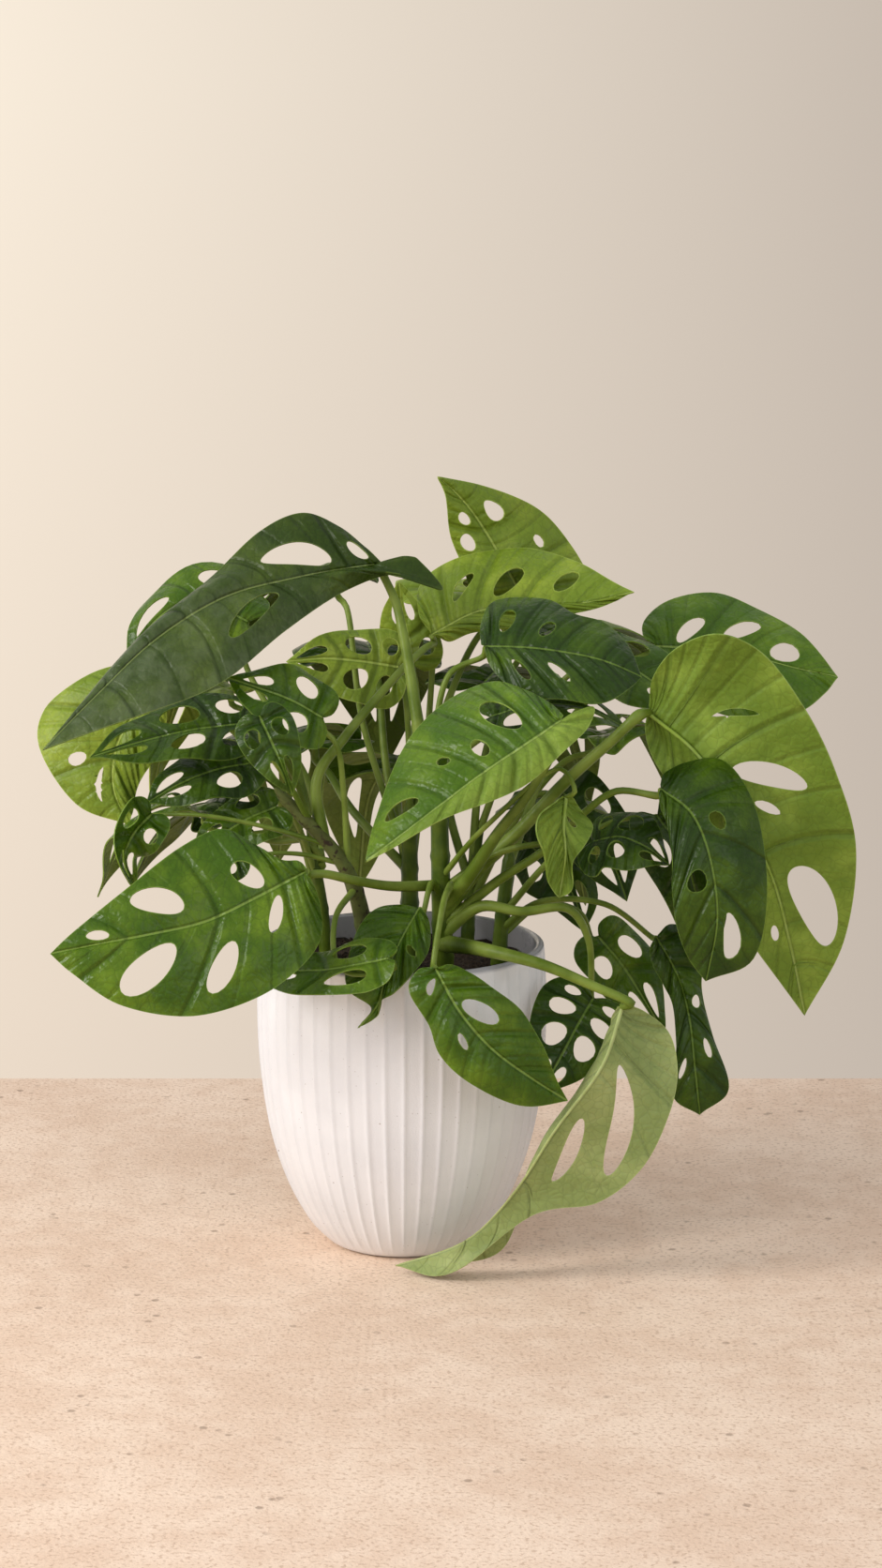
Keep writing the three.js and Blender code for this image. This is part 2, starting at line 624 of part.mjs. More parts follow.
    holes: [
      [
        [0.46, 0.27, 0.2, 0.05, 0.16], [0.65, 0.45, 0.25, 0.038, 0.06],
        [0.811, 0.38, 0.28, 0.038, -0.03],
      ],
      [[0.46, 0.5, 0.2, 0.04, 0], [0.65, 0.48, 0.2, 0.04, 0]],
    ],
    stalk: [[57, 0, 206], [86, 34, 272], [122, 58, 306]],
  },
  {
    name: 'leaf_right_mid', on: 'front', tone: MID,
    rib: [[133, -80, 263], [148, -92, 253], [157, -101, 232], [161, -104, 201], [156, -98, 167]],
    face: [[0.15, -0.85, 0.5], [0.1, -0.98, 0.15]], half: [28, 30],
    edge: [
      [
        [133, -78, 265], [136, -71, 270], [148, -64, 275], [167, -68, 274], [182, -83, 252],
        [187, -95, 216], [180, -96, 179], [156, -98, 167],
      ],
      [
        [132, -81, 261], [133, -87, 255], [136, -93, 247], [138, -102, 234], [138, -106, 218],
        [140, -105, 199], [147, -99, 179], [156, -98, 167],
      ],
    ],
    lines: [0, 0.25, 0.5, 0.67, 0.81, 1],
    holes: [
      [[0.612, 0.3, 0.11, 0.03, 0], [0.88, 0.44, 0.26, 0.04, 0.05]],
      [[0.738, 0.39, 0.22, 0.031, -0.16]],
    ],
    stalk: [
      [22, -28, 180], [50, -40, 206], [74, -56, 226], [94, -68, 248], [111, -74, 261],
    ],
    root: 2.8,
  },
  {
    name: 'leaf_right_inner', on: 'right', tone: DARK, veins: 3,
    rib: [[134, -34, 240], [148, -40, 220], [156, -42, 190], [158, -38, 156]],
    face: [[0.3, -0.8, 0.5], [0.3, -0.95, 0.1]],
    half: [24, 22], fold: [6, 6], curl: [-18, -18], wave: 2,
    stalk: [[54, -2, 180], [84, -20, 218], [116, -32, 238]],
  },
  {
    name: 'leaf_front_pale_small', on: 'front', tone: LIGHT,
    rib: [[84, -86, 260], [83, -94, 247], [84, -98, 232], [81, -96, 210]],
    face: [[-0.2, 0.7, 0.6], [-0.2, 0.9, 0.2]], half: [14, 14],
    edge: [
      [
        [83, -87, 261], [78, -95, 259], [71, -106, 255], [70, -112, 245], [73, -105, 232],
        [75, -103, 222], [78, -98, 214], [81, -96, 210],
      ],
      [
        [85, -84, 261], [89, -82, 258], [94, -81, 252], [98, -80, 244], [94, -94, 237],
        [88, -100, 229], [88, -98, 217], [85, -96, 212], [81, -96, 210],
      ],
    ],
    lines: [0, 0.3, 0.6, 0.8, 1],
    holes: [
      [],
      [[0.45, 0.4, 0.22, 0.03, -0.05]],
    ],
    stalk: [[21, -30, 206], [44, -62, 240], [82, -82, 274]],
  },
  {
    name: 'leaf_front_dark_small', on: 'front', tone: DARK, veins: 4,
    rib: [[100, -62, 232], [113, -70, 236], [126, -76, 232], [138, -78, 223]],
    face: [[0.1, -0.6, 0.8], [0.3, -0.7, 0.6]],
    half: [22, 24], fold: [8, 8], curl: [-25, -25], wave: 2,
    stalk: [[22, -29, 200], [50, -44, 222], [82, -56, 230]],
  },
  {
    name: 'leaf_front_centre', on: 'front', tone: LIGHT,
    rib: [
      [82, -88, 300], [63, -98, 289], [42, -106, 276], [21, -112, 261], [0, -114, 245],
      [-17, -112, 232],
    ],
    face: [[0, -0.5, 0.85], [0.05, -0.6, 0.8]], half: [36, 38],
    edge: [
      [
        [84, -88, 300], [98, -84, 307], [95, -92, 297], [83, -102, 286], [66, -110, 273],
        [47, -117, 265], [25, -120, 256], [3, -118, 244], [-17, -112, 232],
      ],
      [
        [83, -85, 302], [78, -77, 306], [65, -62, 310], [47, -50, 314], [27, -54, 307],
        [9, -67, 291], [-4, -82, 272], [-12, -93, 253], [-17, -112, 232],
      ],
    ],
    lines: [0, 0.2, 0.4, 0.56, 0.67, 0.78, 0.92, 1],
    holes: [
      [],
      [
        [0.474, 0.41, 0.24, 0.053, 0.02], [0.62, 0.25, 0.11, 0.022, -0.05],
        [0.7, 0.45, 0.07, 0.016, 0], [0.85, 0.49, 0.2, 0.03, 0.11],
      ],
    ],
    stalk: [
      [22, -29, 190], [35, -44, 209], [51, -60, 237], [65, -72, 258], [76, -80, 278],
    ],
    root: 4.0,
  },
  {
    name: 'leaf_top', on: 'back', tone: MID,
    rib: [[68, 68, 336], [57, 71, 356], [45, 71, 377], [33, 66, 394], [19, 60, 408]],
    face: [[0.15, -0.85, 0.5], [0, -0.9, 0.4]], half: [30, 34],
    edge: [
      [
        [65, 67, 334], [59, 64, 324], [46, 63, 330], [38, 66, 343], [32, 68, 360], [26, 65, 377],
        [23, 62, 397], [19, 60, 408],
      ],
      [
        [71, 69, 333], [83, 71, 326], [97, 81, 335], [101, 88, 351], [90, 91, 371], [72, 90, 388],
        [45, 75, 401], [19, 60, 408],
      ],
    ],
    lines: [0, 0.2, 0.4, 0.56, 0.745, 0.87, 1],
    holes: [
      [[0.685, 0.66, 0.18, 0.038, -0.09], [0.79, 0.52, 0.2, 0.026, -0.04]],
      [[0.797, 0.42, 0.2, 0.038, 0.06], [0.62, 0.6, 0.07, 0.028, 0]],
    ],
    stalk: [[4, 29, 220], [22, 48, 280], [46, 74, 324]],
  },
  {
    name: 'leaf_top_pale', on: 'left', tone: LIGHT,
    rib: [[16, 36, 325], [41, 34, 338], [69, 34, 341], [97, 30, 343], [124, 24, 350]],
    face: [[0, -0.7, 0.7], [0.05, -0.7, 0.7]], half: [34, 25],
    edge: [
      [
        [15, 38, 327], [9, 49, 335], [9, 63, 348], [21, 63, 358], [42, 66, 366], [68, 67, 369],
        [93, 56, 362], [111, 37, 355], [124, 24, 350],
      ],
      [
        [19, 35, 325], [26, 31, 323], [38, 28, 327], [56, 22, 331], [73, 25, 333], [88, 28, 336],
        [102, 27, 340], [114, 25, 346], [124, 24, 350],
      ],
    ],
    lines: [0, 0.2, 0.38, 0.555, 0.72, 0.87, 1],
    holes: [
      [
        [0.471, 0.43, 0.17, 0.034, 0.15], [0.639, 0.38, 0.22, 0.034, 0.05],
        [0.793, 0.55, 0.25, 0.024, 0],
      ],
      [],
    ],
    stalk: [
      [-40, -28, 222], [-44, -24, 258], [-30, -14, 278], [-14, -2, 296], [2, 12, 312], [13, 26, 320],
    ],
    root: 3.2,
  },
  {
    name: 'leaf_top_dark', on: 'front', tone: DARK,
    rib: [[44, -24, 328], [65, -28, 328], [86, -32, 326], [106, -36, 322], [125, -38, 314]],
    face: [[-0.1, -0.6, 0.8], [0.2, -0.7, 0.7]], half: [26, 26],
    edge: [
      [
        [42, -22, 329], [42, -9, 337], [48, 5, 346], [62, 9, 350], [78, 4, 349], [91, -9, 342],
        [107, -12, 339], [118, -21, 330], [125, -38, 314],
      ],
      [
        [44, -26, 326], [47, -33, 318], [57, -43, 310], [69, -49, 305], [84, -52, 304],
        [98, -53, 303], [110, -50, 305], [119, -43, 309], [125, -38, 314],
      ],
    ],
    lines: [0, 0.25, 0.5, 0.72, 0.88, 1],
    holes: [
      [[0.37, 0.42, 0.2, 0.05, 0], [0.61, 0.4, 0.16, 0.03, 0]],
      [[0.4, 0.5, 0.2, 0.04, 0], [0.61, 0.5, 0.18, 0.03, 0]],
    ],
    stalk: [[20, -30, 236], [18, -26, 280], [26, -22, 314]],
  },
  {
    name: 'leaf_centre_dark', on: 'front', tone: DARK, veins: 3,
    rib: [[47, -30, 292], [70, -36, 299], [95, -38, 298], [117, -36, 287]],
    face: [[0, -0.4, 0.9], [0.2, -0.5, 0.85]],
    half: [24, 24], fold: [6, 6], curl: [-25, -25], wave: 2,
    stalk: [[20, -30, 228], [26, -30, 258], [34, -30, 274]],
  },
  {
    name: 'leaf_right_centre', on: 'back_right', tone: MID, veins: 3,
    rib: [[108, 24, 316], [124, 20, 309], [140, 12, 298], [154, 4, 281]],
    face: [[0.1, -0.6, 0.8], [0.3, -0.7, 0.6]],
    half: [24, 24], fold: [6, 6], curl: [-22, -22], wave: 2,
    stalk: [[41, 43, 214], [62, 40, 268], [92, 30, 306]],
  },
  {
    name: 'leaf_back_left_mid', on: 'back', tone: MID, veins: 4,
    rib: [[-2, 34, 308], [-21, 34, 311], [-41, 32, 313], [-62, 28, 312]],
    face: [[0.05, -0.85, 0.5], [0, -0.85, 0.5]],
    half: [25, 20], fold: [6, 6], curl: [-15, -15], wave: 2.5,
    stalk: [[4, 28, 206], [4, 30, 256], [2, 33, 290]],
  },
  {
    name: 'leaf_left_inner', on: 'left', tone: MID, veins: 3,
    rib: [[-41, -34, 292], [-57, -38, 302], [-73, -38, 308], [-90, -34, 313]],
    face: [[0.1, -0.7, 0.7], [-0.2, -0.7, 0.7]],
    half: [24, 22], fold: [10, 10], curl: [-25, -25], wave: 2,
    stalk: [[-28, -27, 208], [-30, -28, 250], [-34, -30, 278]],
  },
  {
    name: 'leaf_left_hanging', on: 'left', tone: DARK, veins: 3,
    rib: [[-72, -60, 297], [-66, -68, 286], [-60, -72, 273], [-55, -70, 258]],
    face: [[-0.2, -0.8, 0.6], [0, -0.95, 0.3]],
    half: [15, 16], fold: [8, 8], curl: [-20, -20], wave: 1.5,
    stalk: [[-48, -29, 236], [-60, -42, 262], [-72, -52, 284]],
  },
  {
    name: 'leaf_twisted', on: 'left', tone: MID, veins: 3, small: true,
    rib: [[-131, -30, 240], [-140, -36, 231], [-145, -40, 218], [-139, -38, 201]],
    face: [[0.4, -0.7, 0.5], [0.9, -0.4, 0]],
    half: [15, 15], fold: [12, 12], curl: [22, 22], wave: 1.5,
    stalk: [[-40, -29, 224], [-70, -34, 234], [-104, -32, 240]],
  },
  {
    name: 'leaf_small_left', on: 'left', tone: DARK, veins: 3, small: true,
    rib: [[-84, -44, 221], [-94, -47, 219], [-104, -49, 214], [-113, -49, 206]],
    face: [[0, -0.7, 0.7], [-0.2, -0.8, 0.6]],
    half: [14, 14], fold: [8, 8], curl: [-20, -20], wave: 1,
    stalk: [[-34, -28, 214], [-54, -35, 220], [-72, -42, 221]],
  },
  {
    name: 'leaf_centre_yellow', on: 'back', tone: LIGHT, veins: 3,
    rib: [[6, 52, 306], [4, 56, 318], [0, 58, 335], [-2, 56, 352]],
    face: [[0, -0.9, 0.4], [0, -0.95, 0.3]],
    half: [17, 17], fold: [8, 8], curl: [-15, -15], wave: 1.5,
    stalk: [[4, 30, 234], [6, 44, 272], [8, 56, 292]],
  },
  {
    name: 'leaf_low_left', on: 'left', tone: MID, veins: 3,
    rib: [[-66, -10, 240], [-82, -15, 234], [-97, -19, 225], [-112, -22, 214]],
    face: [[0, -0.6, 0.8], [-0.2, -0.8, 0.5]],
    half: [18, 18], fold: [8, 8], curl: [-22, -22], wave: 1.5,
    stalk: [[-22, -25, 190], [-34, -16, 216], [-52, -10, 234]],
  },
  {
    name: 'leaf_inner_right', on: 'back_right', tone: DARK, veins: 3,
    rib: [[87, 40, 238], [102, 38, 221], [114, 34, 201], [122, 30, 180]],
    face: [[0.2, -0.7, 0.7], [0.2, -0.9, 0.3]],
    half: [24, 24], fold: [6, 6], curl: [-18, -18], wave: 2,
    stalk: [[38, 41, 190], [56, 42, 222], [74, 44, 236]],
  },
  {
    name: 'leaf_inner_low', on: 'back_right', tone: DARK, veins: 3,
    rib: [[66, 56, 208], [82, 58, 194], [94, 54, 177], [100, 50, 158]],
    face: [[0.2, -0.7, 0.7], [0.2, -0.9, 0.3]],
    half: [22, 22], fold: [6, 6], curl: [-18, -18], wave: 2,
    stalk: [[37, 40, 182], [50, 48, 200]],
  },
];

// Leaves of the far side, as bearing, height and reach of the blade's base, blade length,
// fall of the tip, half width, turn of the tip and the stem that the leaf grows on.
// A bearing of 90 is straight to the back.
const FAR_LEAVES = [
  [16, 268, 96, 92, 78, 32, 20, 'back_right', MID],
  [37, 320, 80, 106, 62, 34, -18, 'back_right', MID],
  [48, 218, 92, 88, 70, 30, 16, 'back_right', DARK],
  [62, 288, 76, 110, 84, 38, -14, 'back_right', DARK],
  [72, 340, 58, 96, 62, 30, -22, 'back', LIGHT],
  [92, 236, 82, 98, 84, 42, 14, 'back', MID],
  [100, 302, 76, 104, 80, 42, -12, 'back', DARK],
  [122, 254, 78, 102, 84, 44, -16, 'back', MID],
  [119, 348, 60, 92, 60, 28, 28, 'back', DARK],
  [150, 220, 84, 88, 70, 30, 18, 'left_back', DARK],
  [152, 290, 92, 84, 70, 28, -20, 'left_back', LIGHT],
  [180, 232, 92, 74, 52, 24, -22, 'left_back', MID],
];

FAR_LEAVES.forEach(([bearing, height, reach, length, fall, half, sweep, on, tone], i) => {
  const turn = THREE.MathUtils.degToRad(bearing);
  const out = [Math.cos(turn), Math.sin(turn)];
  const middle = [14 * out[0], 16 + 10 * out[1]];
  const at = (r, z) => [middle[0] + r * out[0], middle[1] + r * out[1], z];
  const stem = STEMS[on].points;
  const top = stem[stem.length - 1];
  const foot = [stem[1][0], stem[1][1], Math.min(top[2] - 10, 176 + i * 3)];
  const swept = THREE.MathUtils.degToRad(bearing + sweep);
  const off = [Math.cos(swept), Math.sin(swept)];
  const tipFace = [0.9 * off[0], 0.9 * off[1], 0.35];
  const base = at(reach, height);
  const beyond = (r, z) => [base[0] + r * off[0], base[1] + r * off[1], z];
  LEAVES.push({
    name: `leaf_far_${i + 1}`,
    on,
    tone,
    veins: 3,
    rib: [
      base,
      at(reach + length * 0.32, height + 4),
      beyond(length * 0.64, height - fall * 0.3),
      beyond(length * 0.88, height - fall),
    ],
    face: [[0.3 * out[0], 0.3 * out[1], 0.9], tipFace],
    half: [half, half],
    far: true,
    fold: [8, 8],
    curl: [-28, -28],
    wave: 3,
    stalk: [foot, at(reach * 0.5, foot[2] + (height - foot[2]) * 0.5), at(reach * 0.82, height - 12)],
  });
});

const stalksOf = Object.fromEntries(Object.keys(STEMS).map((key) => [key, []]));

for (const leaf of LEAVES) {
  if (leaf.veins) {
    const { veins } = leaf;
    const pattern = (leaf.far ? FAR_HOLES : HOLES_BY_VEINS[veins]).map(
      ([gap, out, length, breadth]) => [(gap + 0.5) / veins, out, length, breadth / (2 * veins), 0],
    );
    leaf.holes = [pattern, pattern];
    leaf.lines = Array.from({ length: veins + 1 }, (_, i) => i / veins);
  }
  leaf.lobe = leaf.lobe || [1, 1];
  addPiece(leaf.name, bladeGeometry(leaf), leaf.tone, 0.45);
  const { along, face } = ribAxes(leaf, 0);
  const ribDepth = leaf.small ? 0 : RIB_HEIGHT;
  const base = ribPoint(leaf, 0);
  const seat = base.clone().addScaledVector(face, -(BLADE / 2 + ribDepth + CLEARANCE + SEAT_EXTRA));
  const below = seat.clone().addScaledVector(face, -STALK_BEND_BELOW);
  below.addScaledVector(along, -STALK_BEND_BEHIND);
  const size = leaf.small ? STALK_SMALL : STALK_LEAST + Math.max(...leaf.half) / STALK_WIDTH_SHARE;
  const points = [...leaf.stalk, below.toArray(), seat.toArray()];
  const steps = 3 + leaf.stalk.length;
  const sides = size > 1.3 ? STALK_SIDES : STALK_SIDES - 1;
  const root = leaf.root || size * STALK_ROOT;
  stalksOf[leaf.on].push(bentRod(points, root, size * STALK_END, sides, steps));
}

for (const [name, stem] of Object.entries(STEMS)) {
  const [rootRadius, topRadius] = stem.radius;
  let solid = toSolid(bentRod(stem.points, rootRadius, topRadius, STEM_SIDES, 5));
  for (const stalk of stalksOf[name]) solid = solid.add(toSolid(stalk));
  addPiece(`stem_${name}`, toGeometry(solid), STALK_GREEN, 0.5);
}

// Solid turned round the pot's axis from a profile of radius and height
function turned(profile, sides) {
  const geometry = new THREE.LatheGeometry(profile.map(([r, z]) => new THREE.Vector2(r, z)), sides);
  return geometry.rotateX(Math.PI / 2);
}

// The pot is turned from its outside, with a narrow raised line between its shallow flutes,
// and its inside is cut out by a second turned solid
const outline = [[0, 0], ...POT_OUTSIDE, ...LIP, [0, LIP[1][1]]];
const potGeometry = turned(outline, FLUTES * 2);
const potPosition = potGeometry.getAttribute('position');
for (let i = 0; i < potPosition.count; i += 1) {
  const row = i % outline.length;
  const column = Math.floor(i / outline.length);
  const x = potPosition.getX(i);
  const y = potPosition.getY(i);
  const fluted = row > 1 && row < POT_OUTSIDE.length && column % 2 === 1;
  const angle = Math.atan2(y, x) + THREE.MathUtils.degToRad(FLUTE_TURN);
  const r = Math.max(Math.hypot(x, y) - (fluted ? FLUTE_DEPTH : 0), 0);
  potPosition.setXY(i, r * Math.cos(angle), r * Math.sin(angle));
}
const inside = [[0, FLOOR_THICKNESS], ...[...POT_INSIDE].reverse(), [0, POT_INSIDE[0][1]]];
const hollow = toSolid(turned(inside, SOIL_SIDES));
addPiece('pot', toGeometry(toSolid(potGeometry).subtract(hollow)), GLAZE, 0.4);

// Soil fills the pot to below the lip, uneven on top, with a plain hole for each stem
const soilFoot = FLOOR_THICKNESS + CLEARANCE;
const soilProfile = [[0, soilFoot], [POT_INSIDE[5][0] - SOIL_GAP, soilFoot]];
for (const [r, z] of POT_INSIDE.slice(2, -1).reverse()) soilProfile.push([r - SOIL_GAP, z]);
soilProfile.push([SOIL_RADIUS, SOIL_TOP - 1], [SOIL_RADIUS - 1, SOIL_TOP + 1], [SOIL_MIDDLE, SOIL_TOP]);
soilProfile.push([0, SOIL_TOP + 1]);
const soilGeometry = turned(soilProfile, SOIL_SIDES);
const soilPosition = soilGeometry.getAttribute('position');
for (let i = 0; i < soilPosition.count; i += 1) {
  const x = soilPosition.getX(i);
  const y = soilPosition.getY(i);
  const z = soilPosition.getZ(i);
  const mound = SOIL_UNEVENNESS * Math.sin(x * 0.21 + 1) * Math.cos(y * 0.17);
  if (z >= SOIL_TOP) soilPosition.setZ(i, z + mound);
}
let soil = toSolid(soilGeometry);
for (const stem of Object.values(STEMS)) {
  const [foot, next] = stem.points;
  const up = vec(next).sub(vec(foot)).normalize();
  const low = vec(foot).addScaledVector(up, -CLEARANCE);
  const high = vec(next).addScaledVector(up, STEM_HOLE_ABOVE);
  const middle = low.clone().lerp(high, 0.5);
  const radius = stem.radius[0] + CLEARANCE + STEM_HOLE_EXTRA;
  const hole = new THREE.CylinderGeometry(radius, radius, low.distanceTo(high), STEM_HOLE_SIDES);
  hole.applyQuaternion(new THREE.Quaternion().setFromUnitVectors(new THREE.Vector3(0, 1, 0), up));
  hole.translate(middle.x, middle.y, middle.z);
  soil = soil.subtract(toSolid(hole));
}
addPiece('soil', toGeometry(soil), EARTH, 0.95);

export default plant;
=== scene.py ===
import math
import random

import bpy
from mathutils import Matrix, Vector, noise


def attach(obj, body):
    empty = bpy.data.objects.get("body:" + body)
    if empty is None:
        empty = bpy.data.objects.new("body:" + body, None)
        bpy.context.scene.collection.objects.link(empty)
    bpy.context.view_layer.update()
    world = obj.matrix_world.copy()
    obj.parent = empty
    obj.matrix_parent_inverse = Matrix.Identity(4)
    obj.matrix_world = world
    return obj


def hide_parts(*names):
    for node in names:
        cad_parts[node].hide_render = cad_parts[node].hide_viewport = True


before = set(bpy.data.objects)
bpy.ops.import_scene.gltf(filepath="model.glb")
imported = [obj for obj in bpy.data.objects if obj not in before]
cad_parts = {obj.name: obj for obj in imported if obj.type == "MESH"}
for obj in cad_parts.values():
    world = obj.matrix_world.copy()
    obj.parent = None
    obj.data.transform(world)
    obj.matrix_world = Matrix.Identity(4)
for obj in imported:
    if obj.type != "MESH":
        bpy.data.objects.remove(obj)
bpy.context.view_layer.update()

# The pot: one turned stoneware pot with fine upright flutes on its outside, covered in a
# white glaze with small brown and grey specks. The glaze is thin and grey on the rounded lip
# and grey on the inside wall, which the soil hides but for its top.
MM = 0.001
POT_OUTSIDE = [
    (36.5, 0), (42, 3.2), (52.3, 15), (63, 36), (71.7, 64), (76.6, 98), (77.8, 130),
    (76.6, 160), (75.2, 164), (73.6, 165),
]
POT_INSIDE = [(71.9, 163.8), (71.7, 160), (71.6, 118), (65.6, 66), (42, 14), (32, 7)]
POT_FOOT = 35.6
INNER_FLOOR = 6.5
OUTSIDE_STEPS = 44
INSIDE_STEPS = 20
FLUTES = 48
FLUTE_DEPTH = 1.1
FLUTE_TURN = math.radians(1.5)
FLUTE_LOW = 2
FLUTE_HIGH = 163
FLUTE_FADE_LOW = 8
FLUTE_FADE_HIGH = 5
STEPS_PER_FLUTE = 10
GLAZE_WHITE = (0.85, 0.86, 0.89, 1)
GLAZE_SHADE = (0.78, 0.79, 0.82, 1)
GLAZE_GREY = (0.40, 0.39, 0.41, 1)
SPECK_BROWN = (0.20, 0.12, 0.07, 1)
SPECK_GREY = (0.36, 0.34, 0.32, 1)


def through(rows, u):
    """Point of a smooth line through evenly spaced points, for u from 0 to 1."""
    last = len(rows) - 1
    place = min(max(u, 0), 1) * last
    i = min(int(place), last - 1)
    f = place - i
    point = []
    for c in range(len(rows[0])):
        p1, p2 = rows[i][c], rows[i + 1][c]
        p0 = rows[i - 1][c] if i > 0 else 2 * p1 - p2
        p3 = rows[i + 2][c] if i + 2 <= last else 2 * p2 - p1
        v0, v1 = (p2 - p0) / 2, (p3 - p1) / 2
        cubic, square = 2 * p1 - 2 * p2 + v0 + v1, -3 * p1 + 3 * p2 - 2 * v0 - v1
        point.append(((cubic * f + square) * f + v0) * f + p1)
    return point


def turn_up(name, profile, sides):
    """A closed solid drawn up from a disc, ring by ring, along a profile of radius and height."""
    bpy.ops.object.select_all(action="DESELECT")
    r, z = profile[0]
    bpy.ops.mesh.primitive_circle_add(
        vertices=sides, radius=r * MM, fill_type="NGON", location=(0, 0, z * MM)
    )
    piece = bpy.context.object
    piece.name = name
    bpy.ops.object.mode_set(mode="EDIT")
    bpy.ops.mesh.select_all(action="SELECT")
    for (r0, z0), (r1, z1) in zip(profile, profile[1:]):
        bpy.ops.mesh.extrude_region_move(
            TRANSFORM_OT_translate={"value": (0, 0, (z1 - z0) * MM)}
        )
        size = r1 / r0
        bpy.ops.transform.resize(value=(size, size, 1), center_override=(0, 0, z1 * MM))
    bpy.ops.mesh.select_all(action="SELECT")
    bpy.ops.mesh.normals_make_consistent(inside=False)
    bpy.ops.object.mode_set(mode="OBJECT")
    bpy.ops.object.transform_apply(location=True, rotation=True, scale=True)
    bpy.ops.object.shade_smooth()
    return piece


class Finish:
    """A material put together node by node round one shader."""

    def __init__(self, name, **sockets):
        self.material = bpy.data.materials.new(name)
        self.material.use_nodes = True
        self.tree = self.material.node_tree
        self.shader = self.tree.nodes["Principled BSDF"]
        self.place = self.put("TexCoord", {}, "Object")
        for socket, value in sockets.items():
            self.shader.inputs[socket.replace("_", " ")].default_value = value

    def put(self, kind, inputs, output=0, **settings):
        node = self.tree.nodes.new("ShaderNode" + kind)
        for key, value in settings.items():
            setattr(node, key, value)
        for key, value in inputs.items():
            if isinstance(value, bpy.types.NodeSocket):
                self.tree.links.new(value, node.inputs[key])
            else:
                node.inputs[key].default_value = value
        return node.outputs[output]

    def noise(self, scale, detail=3, vector=None):
        inputs = {"Vector": vector or self.place, "Scale": scale, "Detail": detail}
        return self.put("TexNoise", inputs)

    def cells(self, scale, feature, vector=None):
        inputs = {"Vector": vector or self.place, "Scale": scale}
        return self.put("TexVoronoi", inputs, "Distance", feature=feature)

    def ease(self, value, start, end, low=0.0, high=1.0):
        inputs = {"Value": value, 1: start, 2: end, 3: low, 4: high}
        return self.put("MapRange", inputs, interpolation_type="SMOOTHSTEP")

    def times(self, a, b):
        return self.put("Math", {0: a, 1: b}, operation="MULTIPLY")

    def plus(self, a, b):
        return self.put("Math", {0: a, 1: b}, operation="ADD")

    def blend(self, amount, first, second):
        return self.put("MixRGB", {"Fac": amount, "Color1": first, "Color2": second})

    def gap(self, name):
        return self.put("Attribute", {}, "Fac", attribute_name=name)

    def wire(self, socket, value):
        self.tree.links.new(value, self.shader.inputs[socket])

    def emboss(self, height, depth):
        inputs = {"Height": height, "Distance": depth, "Strength": 1.0}
        self.wire("Normal", self.put("Bump", inputs))


glaze = Finish("speckled_white_glaze", Coat_Weight=0.1, Coat_Roughness=0.3)
drift = glaze.noise(24, 3)
white = glaze.blend(glaze.ease(drift, 0.35, 0.7), GLAZE_WHITE, GLAZE_SHADE)
height = glaze.put("SeparateXYZ", {0: glaze.place}, "Z")
lip = glaze.ease(glaze.plus(height, glaze.times(drift, 0.002)), 0.1625, 0.1652)
white = glaze.blend(lip, white, GLAZE_GREY)
crowds = glaze.ease(glaze.noise(75, 2), 0.4, 0.6, 0.25, 1.0)
large_specks = glaze.times(crowds, glaze.ease(glaze.cells(95, "F1"), 0.03, 0.05, 0.8, 0.0))
small_specks = glaze.times(crowds, glaze.ease(glaze.cells(250, "F1"), 0.05, 0.09, 0.6, 0.0))
white = glaze.blend(small_specks, white, SPECK_GREY)
white = glaze.blend(large_specks, white, SPECK_BROWN)
glaze.wire("Base Color", white)
glaze.wire("Roughness", glaze.ease(glaze.noise(60, 4), 0.3, 0.7, 0.36, 0.5))
glaze.emboss(glaze.plus(glaze.noise(320, 3), glaze.noise(1400, 2)), 0.00012)

inner_glaze = Finish("grey_inner_glaze", Coat_Weight=0.3, Coat_Roughness=0.2)
clouds = inner_glaze.ease(inner_glaze.noise(40, 4), 0.3, 0.7)
inner_glaze.wire("Base Color", inner_glaze.blend(clouds, GLAZE_GREY, (0.44, 0.42, 0.43, 1)))
inner_glaze.wire("Roughness", inner_glaze.ease(inner_glaze.noise(90), 0.3, 0.7, 0.25, 0.4))
inner_glaze.emboss(inner_glaze.noise(260, 3), 0.0001)

outside = [through(POT_OUTSIDE, i / OUTSIDE_STEPS) for i in range(OUTSIDE_STEPS + 1)]
inside = [through(POT_INSIDE, i / INSIDE_STEPS) for i in range(INSIDE_STEPS + 1)]
pot = turn_up("pot_fluted", [(POT_FOOT, 0.0)] + outside + inside, FLUTES * STEPS_PER_FLUTE)
wall_points = [
    vertex for vertex in pot.data.vertices
    if FLUTE_LOW * MM < vertex.co.z < FLUTE_HIGH * MM
    and vertex.normal.xy.dot(vertex.co.xy) > 0
]
for vertex in wall_points:
    x, y, z = vertex.co
    level = z / MM
    radius = math.hypot(x, y)
    turn = math.atan2(y, x) + math.pi / 2 - FLUTE_TURN
    across = (turn * FLUTES / (2 * math.pi)) % 1
    hollow = 1 - abs(2 * across - 1) ** 4
    fade = min(
        1, (level - FLUTE_LOW) / FLUTE_FADE_LOW, (FLUTE_HIGH - level) / FLUTE_FADE_HIGH
    )
    vertex.co.xy *= 1 - FLUTE_DEPTH * MM * hollow * fade / radius
pot.data.materials.append(glaze.material)
pot.data.materials.append(inner_glaze.material)
for face in pot.data.polygons:
    out = Vector((face.center.x, face.center.y, 0))
    if face.center.z > INNER_FLOOR * MM and face.normal.dot(out) < 0:
        face.material_index = 1
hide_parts("pot")
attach(pot, "root")

